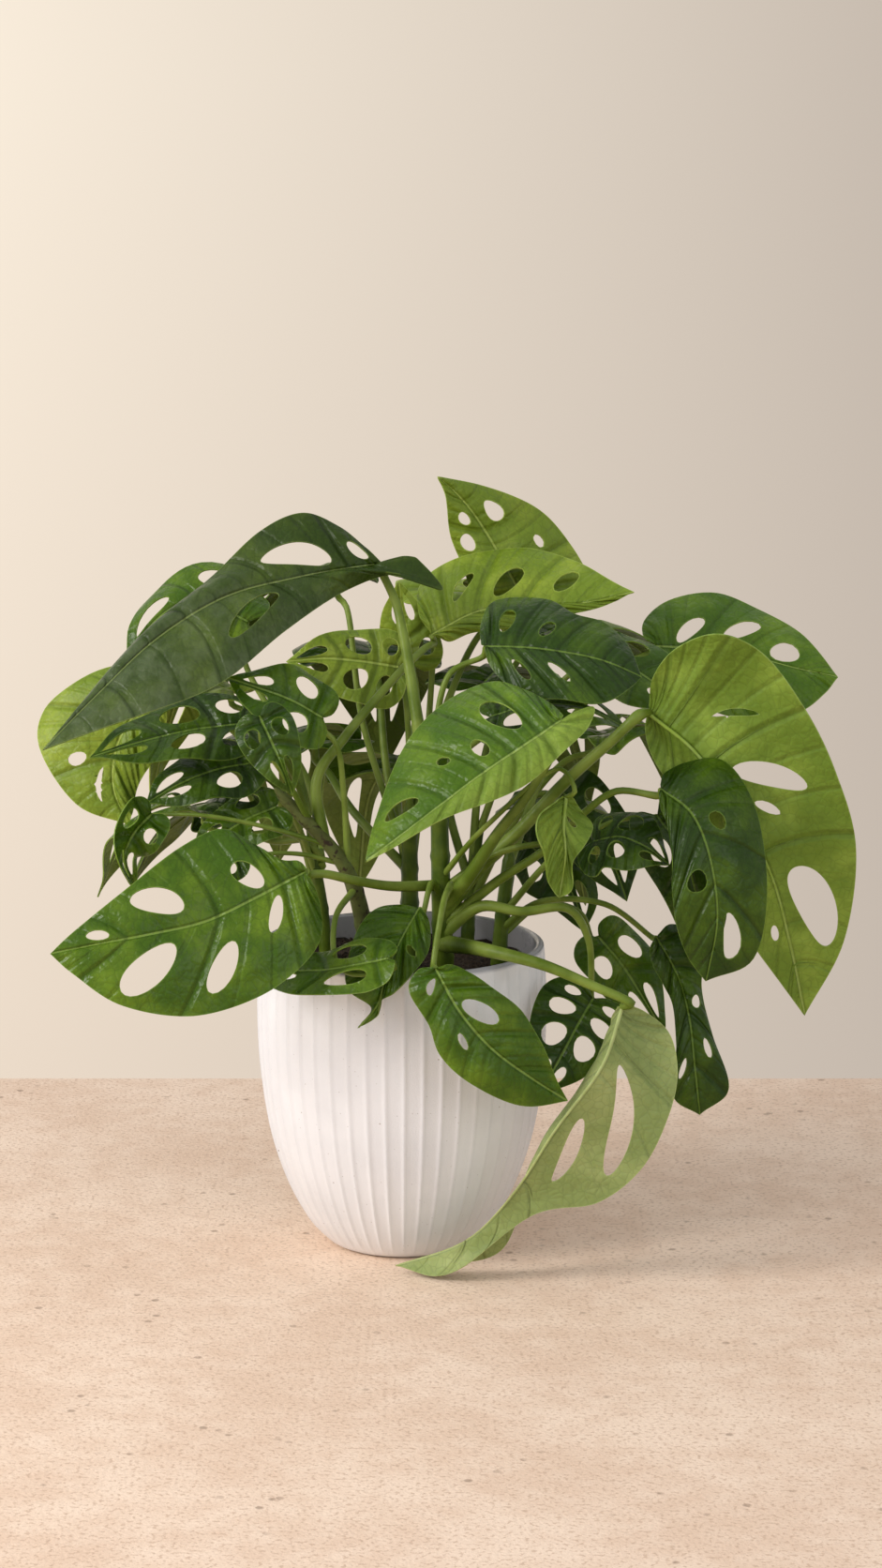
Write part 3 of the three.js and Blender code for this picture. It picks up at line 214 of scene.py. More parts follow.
# The soil: a damp, dark peat mix that fills the pot to below its lip, pressed down by hand
# round the stems, with loose crumbs of peat and bark on top.
SOIL_PROFILE = [(31.4, 7.3), (41.3, 14), (64.9, 66), (70.9, 118), (70.4, 151)]
SOIL_TOP = 152
SOIL_RADIUS = 69.9
SOIL_RINGS = 28
SOIL_MIDDLE = 0.9
LUMPS = 1.6
CRUMBS = 520
CRUMB_REACH = 69
PEAT_DARK = (0.010, 0.0065, 0.004, 1)
PEAT_BROWN = (0.050, 0.030, 0.017, 1)

peat = Finish("damp_peat", Specular_IOR_Level=0.35)
grain = peat.cells(420, "F1")
patches = peat.ease(peat.plus(peat.noise(120, 5), grain), 0.5, 1.2)
peat.wire("Base Color", peat.blend(patches, PEAT_DARK, PEAT_BROWN))
peat.wire("Roughness", peat.ease(peat.noise(200), 0.3, 0.7, 0.7, 0.95))
peat.emboss(peat.plus(peat.cells(520, "F1"), peat.noise(900, 4)), 0.0012)


def mound(x, y):
    """How far the pressed soil stands above its level at a place."""
    return 1.3 * math.sin(x * 0.21 + 1) * math.cos(y * 0.17)


rings = [
    (SOIL_RADIUS - (SOIL_RADIUS - SOIL_MIDDLE) * (i / SOIL_RINGS) ** 0.9, SOIL_TOP)
    for i in range(SOIL_RINGS + 1)
]
soil = turn_up("soil_bed", SOIL_PROFILE + rings, 132)
for vertex in soil.data.vertices:
    if vertex.co.z > (SOIL_TOP - 1.5) * MM:
        x, y = vertex.co.x / MM, vertex.co.y / MM
        lumps = noise.fractal(Vector((x, y, 0)) * 0.16, 0.7, 2.0, 4)
        vertex.co.z += (mound(x, y) + LUMPS * lumps) * MM
soil.data.materials.append(peat.material)
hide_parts("soil")
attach(soil, "root")

draw = random.Random(7)
bpy.ops.object.select_all(action="DESELECT")
bpy.ops.mesh.primitive_ico_sphere_add(subdivisions=1, radius=1)
crumb = bpy.context.object
crumbs = []
for _ in range(CRUMBS):
    r, a = CRUMB_REACH * math.sqrt(draw.random()), draw.uniform(0, 2 * math.pi)
    size = draw.uniform(0.5, 1.7) if draw.random() < 0.85 else draw.uniform(1.7, 2.9)
    bit = bpy.data.objects.new("crumb", crumb.data.copy())
    bpy.context.scene.collection.objects.link(bit)
    for vertex in bit.data.vertices:
        vertex.co = Vector(vertex.co[c] * size * draw.uniform(0.6, 1.3) for c in range(3))
    x, y = r * math.cos(a), r * math.sin(a)
    bit.location = Vector((x, y, SOIL_TOP + mound(x, y) + 0.3)) * MM
    bit.rotation_euler = (draw.uniform(0, 3), draw.uniform(0, 3), draw.uniform(0, 3))
    bit.scale = (MM, MM, MM)
    crumbs.append(bit)
bpy.data.objects.remove(crumb)


def join_up(name, parts):
    """Several meshes made one piece at the origin."""
    bpy.ops.object.select_all(action="DESELECT")
    for part in parts:
        part.select_set(True)
    bpy.context.view_layer.objects.active = parts[0]
    bpy.ops.object.transform_apply(location=True, rotation=True, scale=True)
    bpy.ops.object.join()
    piece = bpy.context.object
    piece.name = name
    piece.data.name = name
    return piece


loose = join_up("soil_crumbs", crumbs)
loose.data.materials.append(peat.material)
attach(loose, "root")

# The leaf blades: thin leathery sheets with long holes between their side veins, a midrib
# that stands out below, and a seat for the stalk in the notch at the base. A blade is made
# as a flat grid with its holes cut out, bent to its form and given its thickness.
BLADE = 0.7
GRID_STEP = 1.9
FEWEST_ROWS = 30
MOST_ROWS = 150
FEWEST_COLUMNS = 9
MOST_COLUMNS = 24
CORD_END = 0.97
VEIN_END = 0.94
CORD_STEPS = 30
VEIN_STEPS = 14
QUILT = 2.2
BOW = 2
BOW_WIDTH = 30
PUCKER = 0.5
STALK_LEAST = 0.6
STALK_WIDTH_SHARE = 50
HALF = [
    (0.0, -0.02, 0.06), (0.004, -0.09, 0.3), (0.016, -0.085, 0.64), (0.05, 0.0, 0.89),
    (0.11, 0.13, 1.0), (0.19, 0.28, 1.0), (0.295, 0.43, 0.93), (0.43, 0.58, 0.79),
    (0.6, 0.74, 0.57), (0.8, 0.88, 0.27), (1.0, 1.0, 0.0),
]
MIDDLE_HOLES = [(1, 0.5, 0.24, 0.64), (2, 0.48, 0.28, 0.66), (3, 0.48, 0.24, 0.6)]
LARGE_HOLES = [
    (1, 0.5, 0.2, 0.62), (2, 0.46, 0.28, 0.7), (3, 0.44, 0.3, 0.7), (4, 0.46, 0.28, 0.66),
]
HOLES_BY_VEINS = {3: [(1, 0.5, 0.26, 0.6), (2, 0.42, 0.22, 0.5)], 4: MIDDLE_HOLES, 5: LARGE_HOLES}


def leaf_skin(name, shade, bright, line, gloss, sheen=0.0, painted_sheen=None):
    """The face of a blade: patches, a fine net, sunken side veins and a pale midrib.

    The colour has painted shade along the veins and beside the midrib, and painted light on the
    panels that bulge between the veins.

    With a painted sheen the half towards the tip has a grey painted reflection in its colour.
    """
    f = Finish(
        name, Coat_Weight=sheen, Coat_Roughness=0.22, Subsurface_Weight=0.12,
        Specular_IOR_Level=0.2,
    )
    f.shader.inputs["Subsurface Radius"].default_value = (0.6, 1.0, 0.15)
    f.shader.inputs["Subsurface Scale"].default_value = 0.0012
    vein, rib, edge = f.gap("vein_gap"), f.gap("rib_gap"), f.gap("edge_gap")
    small_vein = f.gap("fine_gap")
    # A darker green, used for the fine net and for the painted shade along the veins and the
    # midrib.
    deep = tuple(c * 0.45 for c in shade[:3]) + (1,)
    # Random patches, with painted light and shade: lighter away from the side veins, where the
    # panels bulge.
    mottle_and_painted_bulge_light = f.plus(f.times(f.noise(36, 4), 0.85), f.ease(vein, 0.4, 2.5, 0.0, 0.07))
    colour = f.blend(f.ease(mottle_and_painted_bulge_light, 0.40, 0.68), shade, bright)
    colour = f.blend(f.ease(f.noise(150, 4), 0.45, 0.75, 0.0, 0.4), colour, shade)
    net = f.ease(f.cells(210, "DISTANCE_TO_EDGE"), 0.0, 0.09, 0.22, 0.0)
    colour = f.blend(net, colour, deep)
    # Painted reflection: a grey sheen painted on the half towards the tip, strongest on the panels
    # between the veins.
    if painted_sheen:
        sheen_band = f.ease(f.gap("down"), 0.35, 0.95, 0.0, 1.0)
        sheen_cloud = f.ease(f.noise(120, 4), 0.35, 0.65, 0.35, 1.0)
        sheen_ribbon = f.times(f.ease(vein, 0.5, 3.0, 0.2, 1.0), f.ease(small_vein, 0.3, 2.6, 0.2, 1.0))
        colour = f.blend(f.times(f.times(sheen_band, sheen_ribbon), f.times(sheen_cloud, 0.5)), colour, painted_sheen)
    # Painted shade: darker along the sunken fine and side veins and in a band beside the midrib.
    colour = f.blend(f.ease(small_vein, 0.1, 0.9, 0.3, 0.0), colour, deep)
    colour = f.blend(f.ease(vein, 0.1, 1.1, 0.45, 0.0), colour, deep)
    colour = f.blend(f.ease(rib, 0.7, 2.2, 0.35, 0.0), colour, deep)
    colour = f.blend(f.ease(rib, 0.35, 1.0, 0.8, 0.0), colour, line)
    colour = f.blend(f.ease(edge, 0.1, 0.6, 0.6, 0.0), colour, line)
    f.wire("Base Color", colour)
    f.wire("Roughness", f.ease(f.noise(110, 4), 0.3, 0.7, gloss, gloss + 0.14))
    grooves = f.plus(f.ease(vein, 0.0, 3.4, 0.0, 1.2), f.ease(rib, 0.0, 2.2, 0.0, 0.5))
    grooves = f.plus(grooves, f.ease(small_vein, 0.0, 2.4, 0.0, 0.55))
    net_relief = f.ease(f.cells(210, "DISTANCE_TO_EDGE"), 0.0, 0.3, 0.0, 0.14)
    fine = f.plus(f.times(f.noise(900, 3), 0.05), net_relief)
    f.emboss(f.plus(f.plus(f.times(f.noise(75, 3), 2.2), grooves), fine), 0.0011)
    return f.material


def plain_skin(name, colour, other, rough, scale=160, mark=None):
    """The skin of a rib, a stalk or a blade's edge, with brown marks on an old stem."""
    f = Finish(name, Subsurface_Weight=0.1, Specular_IOR_Level=0.25)
    f.shader.inputs["Subsurface Radius"].default_value = (0.6, 1.0, 0.2)
    f.shader.inputs["Subsurface Scale"].default_value = 0.002
    skin = f.blend(f.ease(f.noise(scale, 4), 0.35, 0.65), colour, other)
    if mark:
        skin = f.blend(f.ease(f.noise(scale * 3, 5), 0.56, 0.66), skin, mark)
    f.wire("Base Color", skin)
    f.wire("Roughness", f.ease(f.noise(300), 0.3, 0.7, rough, rough + 0.12))
    f.emboss(f.plus(f.noise(700, 3), f.times(f.noise(150, 3), 1.5)), 0.0002)
    return f.material


def skins(name, shade, bright, line, below, below_bright, below_line, gloss, sheen, painted_sheen=None):
    """Upper face, lower face, edge, midrib and side veins of one kind of leaf."""
    return [
        leaf_skin(name + "_face", shade, bright, line, gloss, sheen, painted_sheen),
        leaf_skin(name + "_underside", below, below_bright, below_line, 0.5),
        plain_skin(name + "_edge", line, bright, 0.5),
        plain_skin(name + "_ribs", below_line, below_bright, 0.5),
        plain_skin(name + "_side_veins", below, tuple(c * 0.6 for c in below[:3]) + (1,), 0.5),
    ]


DEEP = skins(
    "deep_green", (0.020, 0.050, 0.002, 1), (0.062, 0.118, 0.005, 1), (0.13, 0.21, 0.03, 1),
    (0.055, 0.085, 0.006, 1), (0.10, 0.14, 0.014, 1), (0.15, 0.20, 0.04, 1), 0.28, 0.03,
)
# Dark green leaf whose last colour is a grey painted reflection on the half towards its tip.
DEEP_WITH_PAINTED_SHEEN = skins(
    "deep_painted_sheen", (0.024, 0.048, 0.003, 1), (0.064, 0.102, 0.008, 1), (0.16, 0.21, 0.06, 1),
    (0.065, 0.10, 0.010, 1), (0.11, 0.155, 0.020, 1), (0.15, 0.21, 0.05, 1), 0.34, 0.0,
    (0.125, 0.160, 0.080, 1),
)
MIDDLE = skins(
    "leaf_green", (0.044, 0.100, 0.003, 1), (0.118, 0.198, 0.010, 1), (0.19, 0.29, 0.05, 1),
    (0.095, 0.145, 0.018, 1), (0.150, 0.205, 0.035, 1), (0.21, 0.28, 0.07, 1), 0.25, 0.03,
)
FRESH = skins(
    "fresh_green", (0.055, 0.122, 0.005, 1), (0.122, 0.208, 0.012, 1), (0.24, 0.34, 0.07, 1),
    (0.130, 0.210, 0.020, 1), (0.225, 0.325, 0.042, 1), (0.28, 0.38, 0.09, 1), 0.28, 0.02,
)
# Yellow-green leaves: partly their own colour, partly painted light that stands for the light
# shining through them.
LIME_WITH_PAINTED_GLOW = skins(
    "lime_green_painted_glow", (0.15, 0.225, 0.016, 1), (0.26, 0.34, 0.032, 1), (0.36, 0.46, 0.09, 1),
    (0.17, 0.245, 0.022, 1), (0.26, 0.335, 0.045, 1), (0.33, 0.42, 0.10, 1), 0.36, 0.04,
)
PALE = skins(
    "pale_matte_green", (0.235, 0.300, 0.092, 1), (0.350, 0.410, 0.145, 1), (0.42, 0.49, 0.20, 1),
    (0.235, 0.300, 0.095, 1), (0.350, 0.410, 0.150, 1), (0.42, 0.49, 0.20, 1), 0.45, 0.0,
)


class Blade:
    """One leaf blade: the line of its midrib, the way it faces, and its halves.

    Lengths are in millimetres and angles in degrees; a pair is the left half and the right.
    A traced leaf has the points of its margin, left and right, from the notch towards the
    tip, which the midrib gives. The others have an oval outline, and curl.
    Each half is a strip whose k runs from the notch to the tip and t from midrib to margin.
    """

    def __init__(self, rib, face, half, **more):
        self.rib, self.face, self.half = rib, face, half
        self.edge = [more[way] + rib[-1:] for way in ("left", "right") if way in more]
        self.lines = more.get("lines")
        self.holes = [more.get("left_holes", []), more.get("right_holes", [])]
        self.lobe, self.wave = more.get("lobe", (1, 1)), more.get("wave", 1.4)
        self.fold = [math.radians(v) for v in more.get("fold", (0, 0))]
        self.curl = [math.radians(v) or 0.001 for v in more.get("curl", (0, 0))]
        veins = more.get("veins")
        if veins:
            self.lines = [i / veins for i in range(veins + 1)]
            self.holes = [
                [
                    ((gap + 0.5) / veins, out, length, breadth / (2 * veins), 0)
                    for gap, out, length, breadth in more.get("holes", HOLES_BY_VEINS[veins])
                ]
            ] * 2
        self.fine_lines = []
        for low, high in zip(self.lines, self.lines[1:]):
            parts = 3 if high - low > 0.15 else 2
            self.fine_lines += [low + (high - low) * i / parts for i in range(1, parts)]
        self.seen = {}

    def rib_point(self, a):
        if a >= 0:
            return Vector(through(self.rib, a))
        start, after = Vector(self.rib[0]), Vector(self.rib[1])
        return start + (after - start) * (len(self.rib) - 1) * a

    def axes(self, a):
        place = min(max(a, 0), 0.98)
        along = (self.rib_point(place + 0.02) - self.rib_point(place)).normalized()
        face = Vector(self.face[0]).lerp(Vector(self.face[1]), place)
        face = (face - along * face.dot(along)).normalized()
        return along, face, face.cross(along)

    def row(self, side, k):
        """Start and end of a line of the half on the midrib, its reach, and its margin point."""
        key = (side, round(k, 5))
        if key not in self.seen:
            start, end, reach = through(HALF, k)
            lobe = 1 + (self.lobe[side] - 1) * max(0, 1 - k / 0.4)
            end = end * self.lobe[side] if end < 0 else end
            out = None
            if self.edge:
                out = Vector(through(self.edge[side], k)) - self.rib_point(end)
            self.seen[key] = start, end, max(reach * lobe, 0), out
        return self.seen[key]

    def panel_place(self, k):
        for low, high in zip(self.lines, self.lines[1:]):
            if low <= k < high:
                return (k - low) / (high - low)
        return 0

    def point(self, side, k, t):
        start, end, reach, out = self.row(side, k)
        a = start + (end - start) * t**1.35
        _, face, left = self.axes(a)
        arch = math.sin(math.pi * min(t, 1))
        puff = QUILT * math.sin(math.pi * self.panel_place(k)) * min(reach, 1) * arch
        swing = math.sin(2 * math.pi * 2.5 * k + side * 2 + self.rib[0][0] * 0.1)
        ripple = self.wave * t * t * min(reach * 3, 1) * swing
        if out:
            bow = BOW * min(out.length / BOW_WIDTH, 1) * arch
            lift = (face - out * face.dot(out) / max(out.length_squared, 1e-6)).normalized()
            point = self.rib_point(a) + out * t + lift * (puff + bow + ripple)
            return point + lift * PUCKER * arch * noise.noise(point * 0.09)
        width, fold, curl = self.half[side], self.fold[side], self.curl[side]
        bend = fold + curl * reach * t
        across = width * (math.sin(bend) - math.sin(fold)) / curl
        rise = width * (math.cos(fold) - math.cos(bend)) / curl + ripple + puff
        point = self.rib_point(a) + left * (across if side == 0 else -across) + face * rise
        return point + face * PUCKER * arch * noise.noise(point * 0.09)


def oval_place(hole, k, t):
    """How far a place is from a hole's middle, 1 on its rim, and where its ray meets the rim."""
    middle, out, length, breadth, slant = hole
    y = (t - out) / length
    x = (k - middle - slant * (t - out)) / breadth
    far = math.hypot(x, y)
    if far == 0:
        return 0, (middle, out)
    rim_t = out + length * y / far
    return far, (middle + breadth * x / far + slant * (rim_t - out), rim_t)


def vein_cords(name, lines):
    """Round tapered cords along lines of points with a radius each, as one mesh."""
    bpy.ops.object.select_all(action="DESELECT")
    bpy.ops.curve.primitive_nurbs_path_add()
    cord = bpy.context.object
    cord.name = name
    cord.data.splines.clear()
    for points, radii in lines:
        spline = cord.data.splines.new("POLY")
        spline.points.add(len(points) - 1)
        for knot, point, radius in zip(spline.points, points, radii):
            knot.co = (*point * MM, 1)
            knot.radius = radius
    cord.data.dimensions = "3D"
    cord.data.bevel_depth = MM
    cord.data.bevel_resolution = 2
    cord.data.use_fill_caps = True
    bpy.ops.object.convert(target="MESH")
    bpy.ops.object.shade_smooth()
    return bpy.context.object


def place_of(x, y):
    """The half, the place along it and the place across it of a point of the flat grid."""
    return (0 if x >= 0 else 1), min(max((y + 1) / 2, 0), 1), abs(x)


def cut_grid(name, blade, turned):
    """The flat grid of a blade, with its holes cut out, and which of its points are on a rim."""
    length = sum((Vector(b) - Vector(a)).length for a, b in zip(blade.rib, blade.rib[1:]))
    thinnest = min([hole[3] for half_holes in blade.holes for hole in half_holes] or [1])
    rows = max(round(length / GRID_STEP), FEWEST_ROWS, round(GRID_STEP / thinnest))
    along = min(rows, MOST_ROWS)
    across = min(max(round(max(blade.half) / GRID_STEP), FEWEST_COLUMNS), MOST_COLUMNS)
    bpy.ops.object.select_all(action="DESELECT")
    bpy.ops.mesh.primitive_grid_add(x_subdivisions=2 * across, y_subdivisions=along, size=2)
    piece = bpy.context.object
    piece.name = name + "_blade"
    for polygon in piece.data.polygons:
        side, k, t = place_of(polygon.center.x, polygon.center.y)
        polygon.select = any(oval_place(hole, k, t)[0] < 1 for hole in blade.holes[side])
    bpy.context.tool_settings.mesh_select_mode = (False, False, True)
    bpy.ops.object.mode_set(mode="EDIT")
    bpy.ops.mesh.delete(type="FACE")
    bpy.ops.object.mode_set(mode="OBJECT")
    uses = {}
    for polygon in piece.data.polygons:
        # A blade so marked shows the paler underside skin on the face of its left half.
        polygon.material_index = int(turned and polygon.center.x > 0)
        for edge in polygon.edge_keys:
            uses[edge] = uses.get(edge, 0) + 1
    return piece, {v for edge, count in uses.items() if count == 1 for v in edge}


def bend_grid(mesh, blade, rim):
    """Moves the flat grid to the blade's form and notes how far its points are from the veins."""
    vein_gap = [0.0] * len(mesh.vertices)
    fine_gap, rib_gap, edge_gap, down = (list(vein_gap) for _ in range(4))
    for i, vertex in enumerate(mesh.vertices):
        side, k, t = place_of(vertex.co.x, vertex.co.y)
        near_rim = None
        for hole in blade.holes[side]:
            far, rim_place = oval_place(hole, k, t)
            if far < 1 or i in rim and 0 < t < 1 and far < 1.6:
                k, t = rim_place
            if far < 3:
                near_rim = rim_place
        point = blade.point(side, k, t)
        nearest = min(blade.lines[1:-1], key=lambda line: abs(line - k))
        vein_gap[i] = (point - blade.point(side, nearest, t)).length
        nearest = min(blade.fine_lines, key=lambda line: abs(line - k))
        fine_gap[i] = (point - blade.point(side, nearest, t)).length
        rib_gap[i] = (point - blade.rib_point(blade.row(side, k)[0])).length
        edge_gap[i] = (point - blade.point(side, k, 1)).length
        if near_rim:
            edge_gap[i] = min(edge_gap[i], (point - blade.point(side, *near_rim)).length)
        down[i] = k
        vertex.co = point * MM
    gaps = {"vein_gap": vein_gap, "fine_gap": fine_gap, "rib_gap": rib_gap, "edge_gap": edge_gap}
    for key, values in {**gaps, "down": down}.items():
        mesh.attributes.new(key, "FLOAT", "POINT").data.foreach_set("value", values)
    mesh.update()


def thicken(piece, blade, skin):
    """Closes the blade's doubled points, turns its face up and gives it its thickness."""
    mesh = piece.data
    bpy.ops.object.mode_set(mode="EDIT")
    bpy.ops.mesh.select_all(action="SELECT")
    bpy.ops.mesh.remove_doubles(threshold=0.00002)
    bpy.ops.object.mode_set(mode="OBJECT")
    if sum((p.normal * p.area for p in mesh.polygons), Vector()).dot(blade.axes(0.4)[1]) < 0:
        mesh.flip_normals()
    for material in skin:
        mesh.materials.append(material)
    wall = piece.modifiers.new("thickness", "SOLIDIFY")
    wall.thickness = BLADE * MM
    wall.offset = 0
    wall.material_offset = 1
    wall.material_offset_rim = 2
    bpy.ops.object.modifier_apply(modifier="thickness")
    bpy.ops.object.shade_smooth_by_angle(angle=math.radians(60))


def under(blade, side, k, t, depth):
    """The point below a place of the blade's face, at a right angle to it."""
    point = blade.point(side, k, t)
    to_margin = blade.point(side, k, min(t + 0.02, 1)) - point
    to_tip = blade.point(side, min(k + 0.01, 1), t) - point
    normal = to_tip.cross(to_margin).normalized()
    if normal.dot(blade.axes(blade.row(side, k)[0])[1]) < 0:
        normal.negate()
    return point - normal * depth


def vein_lines(blade, thick):
    """The side veins below the blade, each as far as the first hole in its way."""
    lines = []
    for side in (0, 1):
        for k in blade.lines[1:-1]:
            ts = [i / VEIN_STEPS * VEIN_END for i in range(VEIN_STEPS + 1)]
            cut = [t for t in ts if any(oval_place(h, k, t)[0] < 1.15 for h in blade.holes[side])]
            ts = [t for t in ts if not cut or t < cut[0]]
            if len(ts) > 3:
                radii = [thick * (0.5 - 0.36 * t) for t in ts]
                points = [under(blade, side, k, t, r - 0.2) for t, r in zip(ts, radii)]
                lines.append((points, radii))
    return lines


def grow_leaf(name, skin, rib, face, half, stalk, **more):
    """Makes a blade that stands for its CAD node and gives back the path of its stalk."""
    small = more.get("small", False)
    blade = Blade(rib, face, half, **more)
    piece, rim = cut_grid(name, blade, more.get("turned", False))
    bend_grid(piece.data, blade, rim)
    thicken(piece, blade, skin)
    thick = 0.55 if small else 1.0
    places = [i / CORD_STEPS * CORD_END for i in range(CORD_STEPS + 1)]
    radii = [thick * (1.05 - 0.85 * a) for a in places]
    spine = [blade.rib_point(a) - blade.axes(a)[1] * (r - 0.25) for a, r in zip(places, radii)]
    midrib = vein_cords(name + "_midrib", [(spine, radii)])
    midrib.data.materials.append(skin[3])
    cords = vein_cords(name + "_veins", vein_lines(blade, thick))
    cords.data.materials.append(skin[4])
    leaf = join_up(name + "_blade", [piece, midrib, cords])
    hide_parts(name)
    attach(leaf, "root")
    to_tip, up, _ = blade.axes(0)
    base = Vector(rib[0])
    below = base - up * 7 - to_tip * 1.5
    size = 0.75 if small else STALK_LEAST + max(half) / STALK_WIDTH_SHARE
    path = [Vector(p) for p in stalk] + [below, base - up * 0.6]
    return path, more.get("root", 1.8 * size), 1.3 * size


def smooth_path(points):
    """Evenly spaced points of a centripetal curve through the given points."""
    path = []
    ends = [2 * points[0] - points[1]] + points + [2 * points[-1] - points[-2]]
    for i in range(len(points) - 1):
        p0, p1, p2, p3 = ends[i : i + 4]
        d0 = max((p1 - p0).length ** 0.5, 1e-4)
        d1 = max((p2 - p1).length ** 0.5, 1e-4)
        d2 = max((p3 - p2).length ** 0.5, 1e-4)
        v1 = ((p1 - p0) / d0 - (p2 - p0) / (d0 + d1) + (p2 - p1) / d1) * d1
        v2 = ((p2 - p1) / d1 - (p3 - p1) / (d1 + d2) + (p3 - p2) / d2) * d1
        count = max(int((p2 - p1).length / 3), 3)
        for s in range(count):
            f = s / count
            cubic, square = 2 * p1 - 2 * p2 + v1 + v2, -3 * p1 + 3 * p2 - 2 * v1 - v2
            path.append(((cubic * f + square) * f + v1) * f + p1)
    path.append(points[-1])
    return path


STALK_SKIN = plain_skin("young_stalk", (0.095, 0.150, 0.010, 1), (0.20, 0.27, 0.042, 1), 0.36, 45)
STEM_SKIN = plain_skin("green_stem", (0.050, 0.090, 0.004, 1), (0.105, 0.155, 0.010, 1), 0.4, 60)
OLD_SKIN = plain_skin(
    "brown_stem", (0.075, 0.085, 0.02, 1), (0.12, 0.15, 0.035, 1), 0.6, 90, (0.035, 0.022, 0.010, 1)
)


RING_EVERY = 19
RING_SWELL = 0.12
KNEE_PLACE = 0.93
KNEE_SWELL = 0.22


def raise_stem(name, points, thick, thin, skin, stalks):
    """A stem with its growth rings, and the stalks that leave it, as one piece."""
    path = smooth_path([Vector(p) for p in points])
    radii = []
    for i, point in enumerate(path):
        share = i / (len(path) - 1)
        ring = RING_SWELL * math.exp(-(((point.z % RING_EVERY) - 9) / 1.8) ** 2)
        rounded_end = min(1, 0.3 + 14 * (1 - share))
        radii.append((thick + (thin - thick) * share) * (1 + ring) * rounded_end)
    stem = vein_cords(name, [(path, radii)])
    stem.data.materials.append(skin)
    lines = []
    for stalk, root, top in stalks:
        path = smooth_path(stalk)
        radii = []
        for i in range(len(path)):
            share = i / (len(path) - 1)
            knee = KNEE_SWELL * math.exp(-(((share - KNEE_PLACE) / 0.035) ** 2))
            sheath = 0.1 * max(0, 1 - share / 0.4)
            radii.append((root + (top - root) * share) * (1 + knee + sheath))
        lines.append((path, radii))
    rods = vein_cords(name + "_stalks", lines)
    rods.data.materials.append(STALK_SKIN)
    piece = join_up(name + "_growth", [stem, rods])
    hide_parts(name)
    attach(piece, "root")


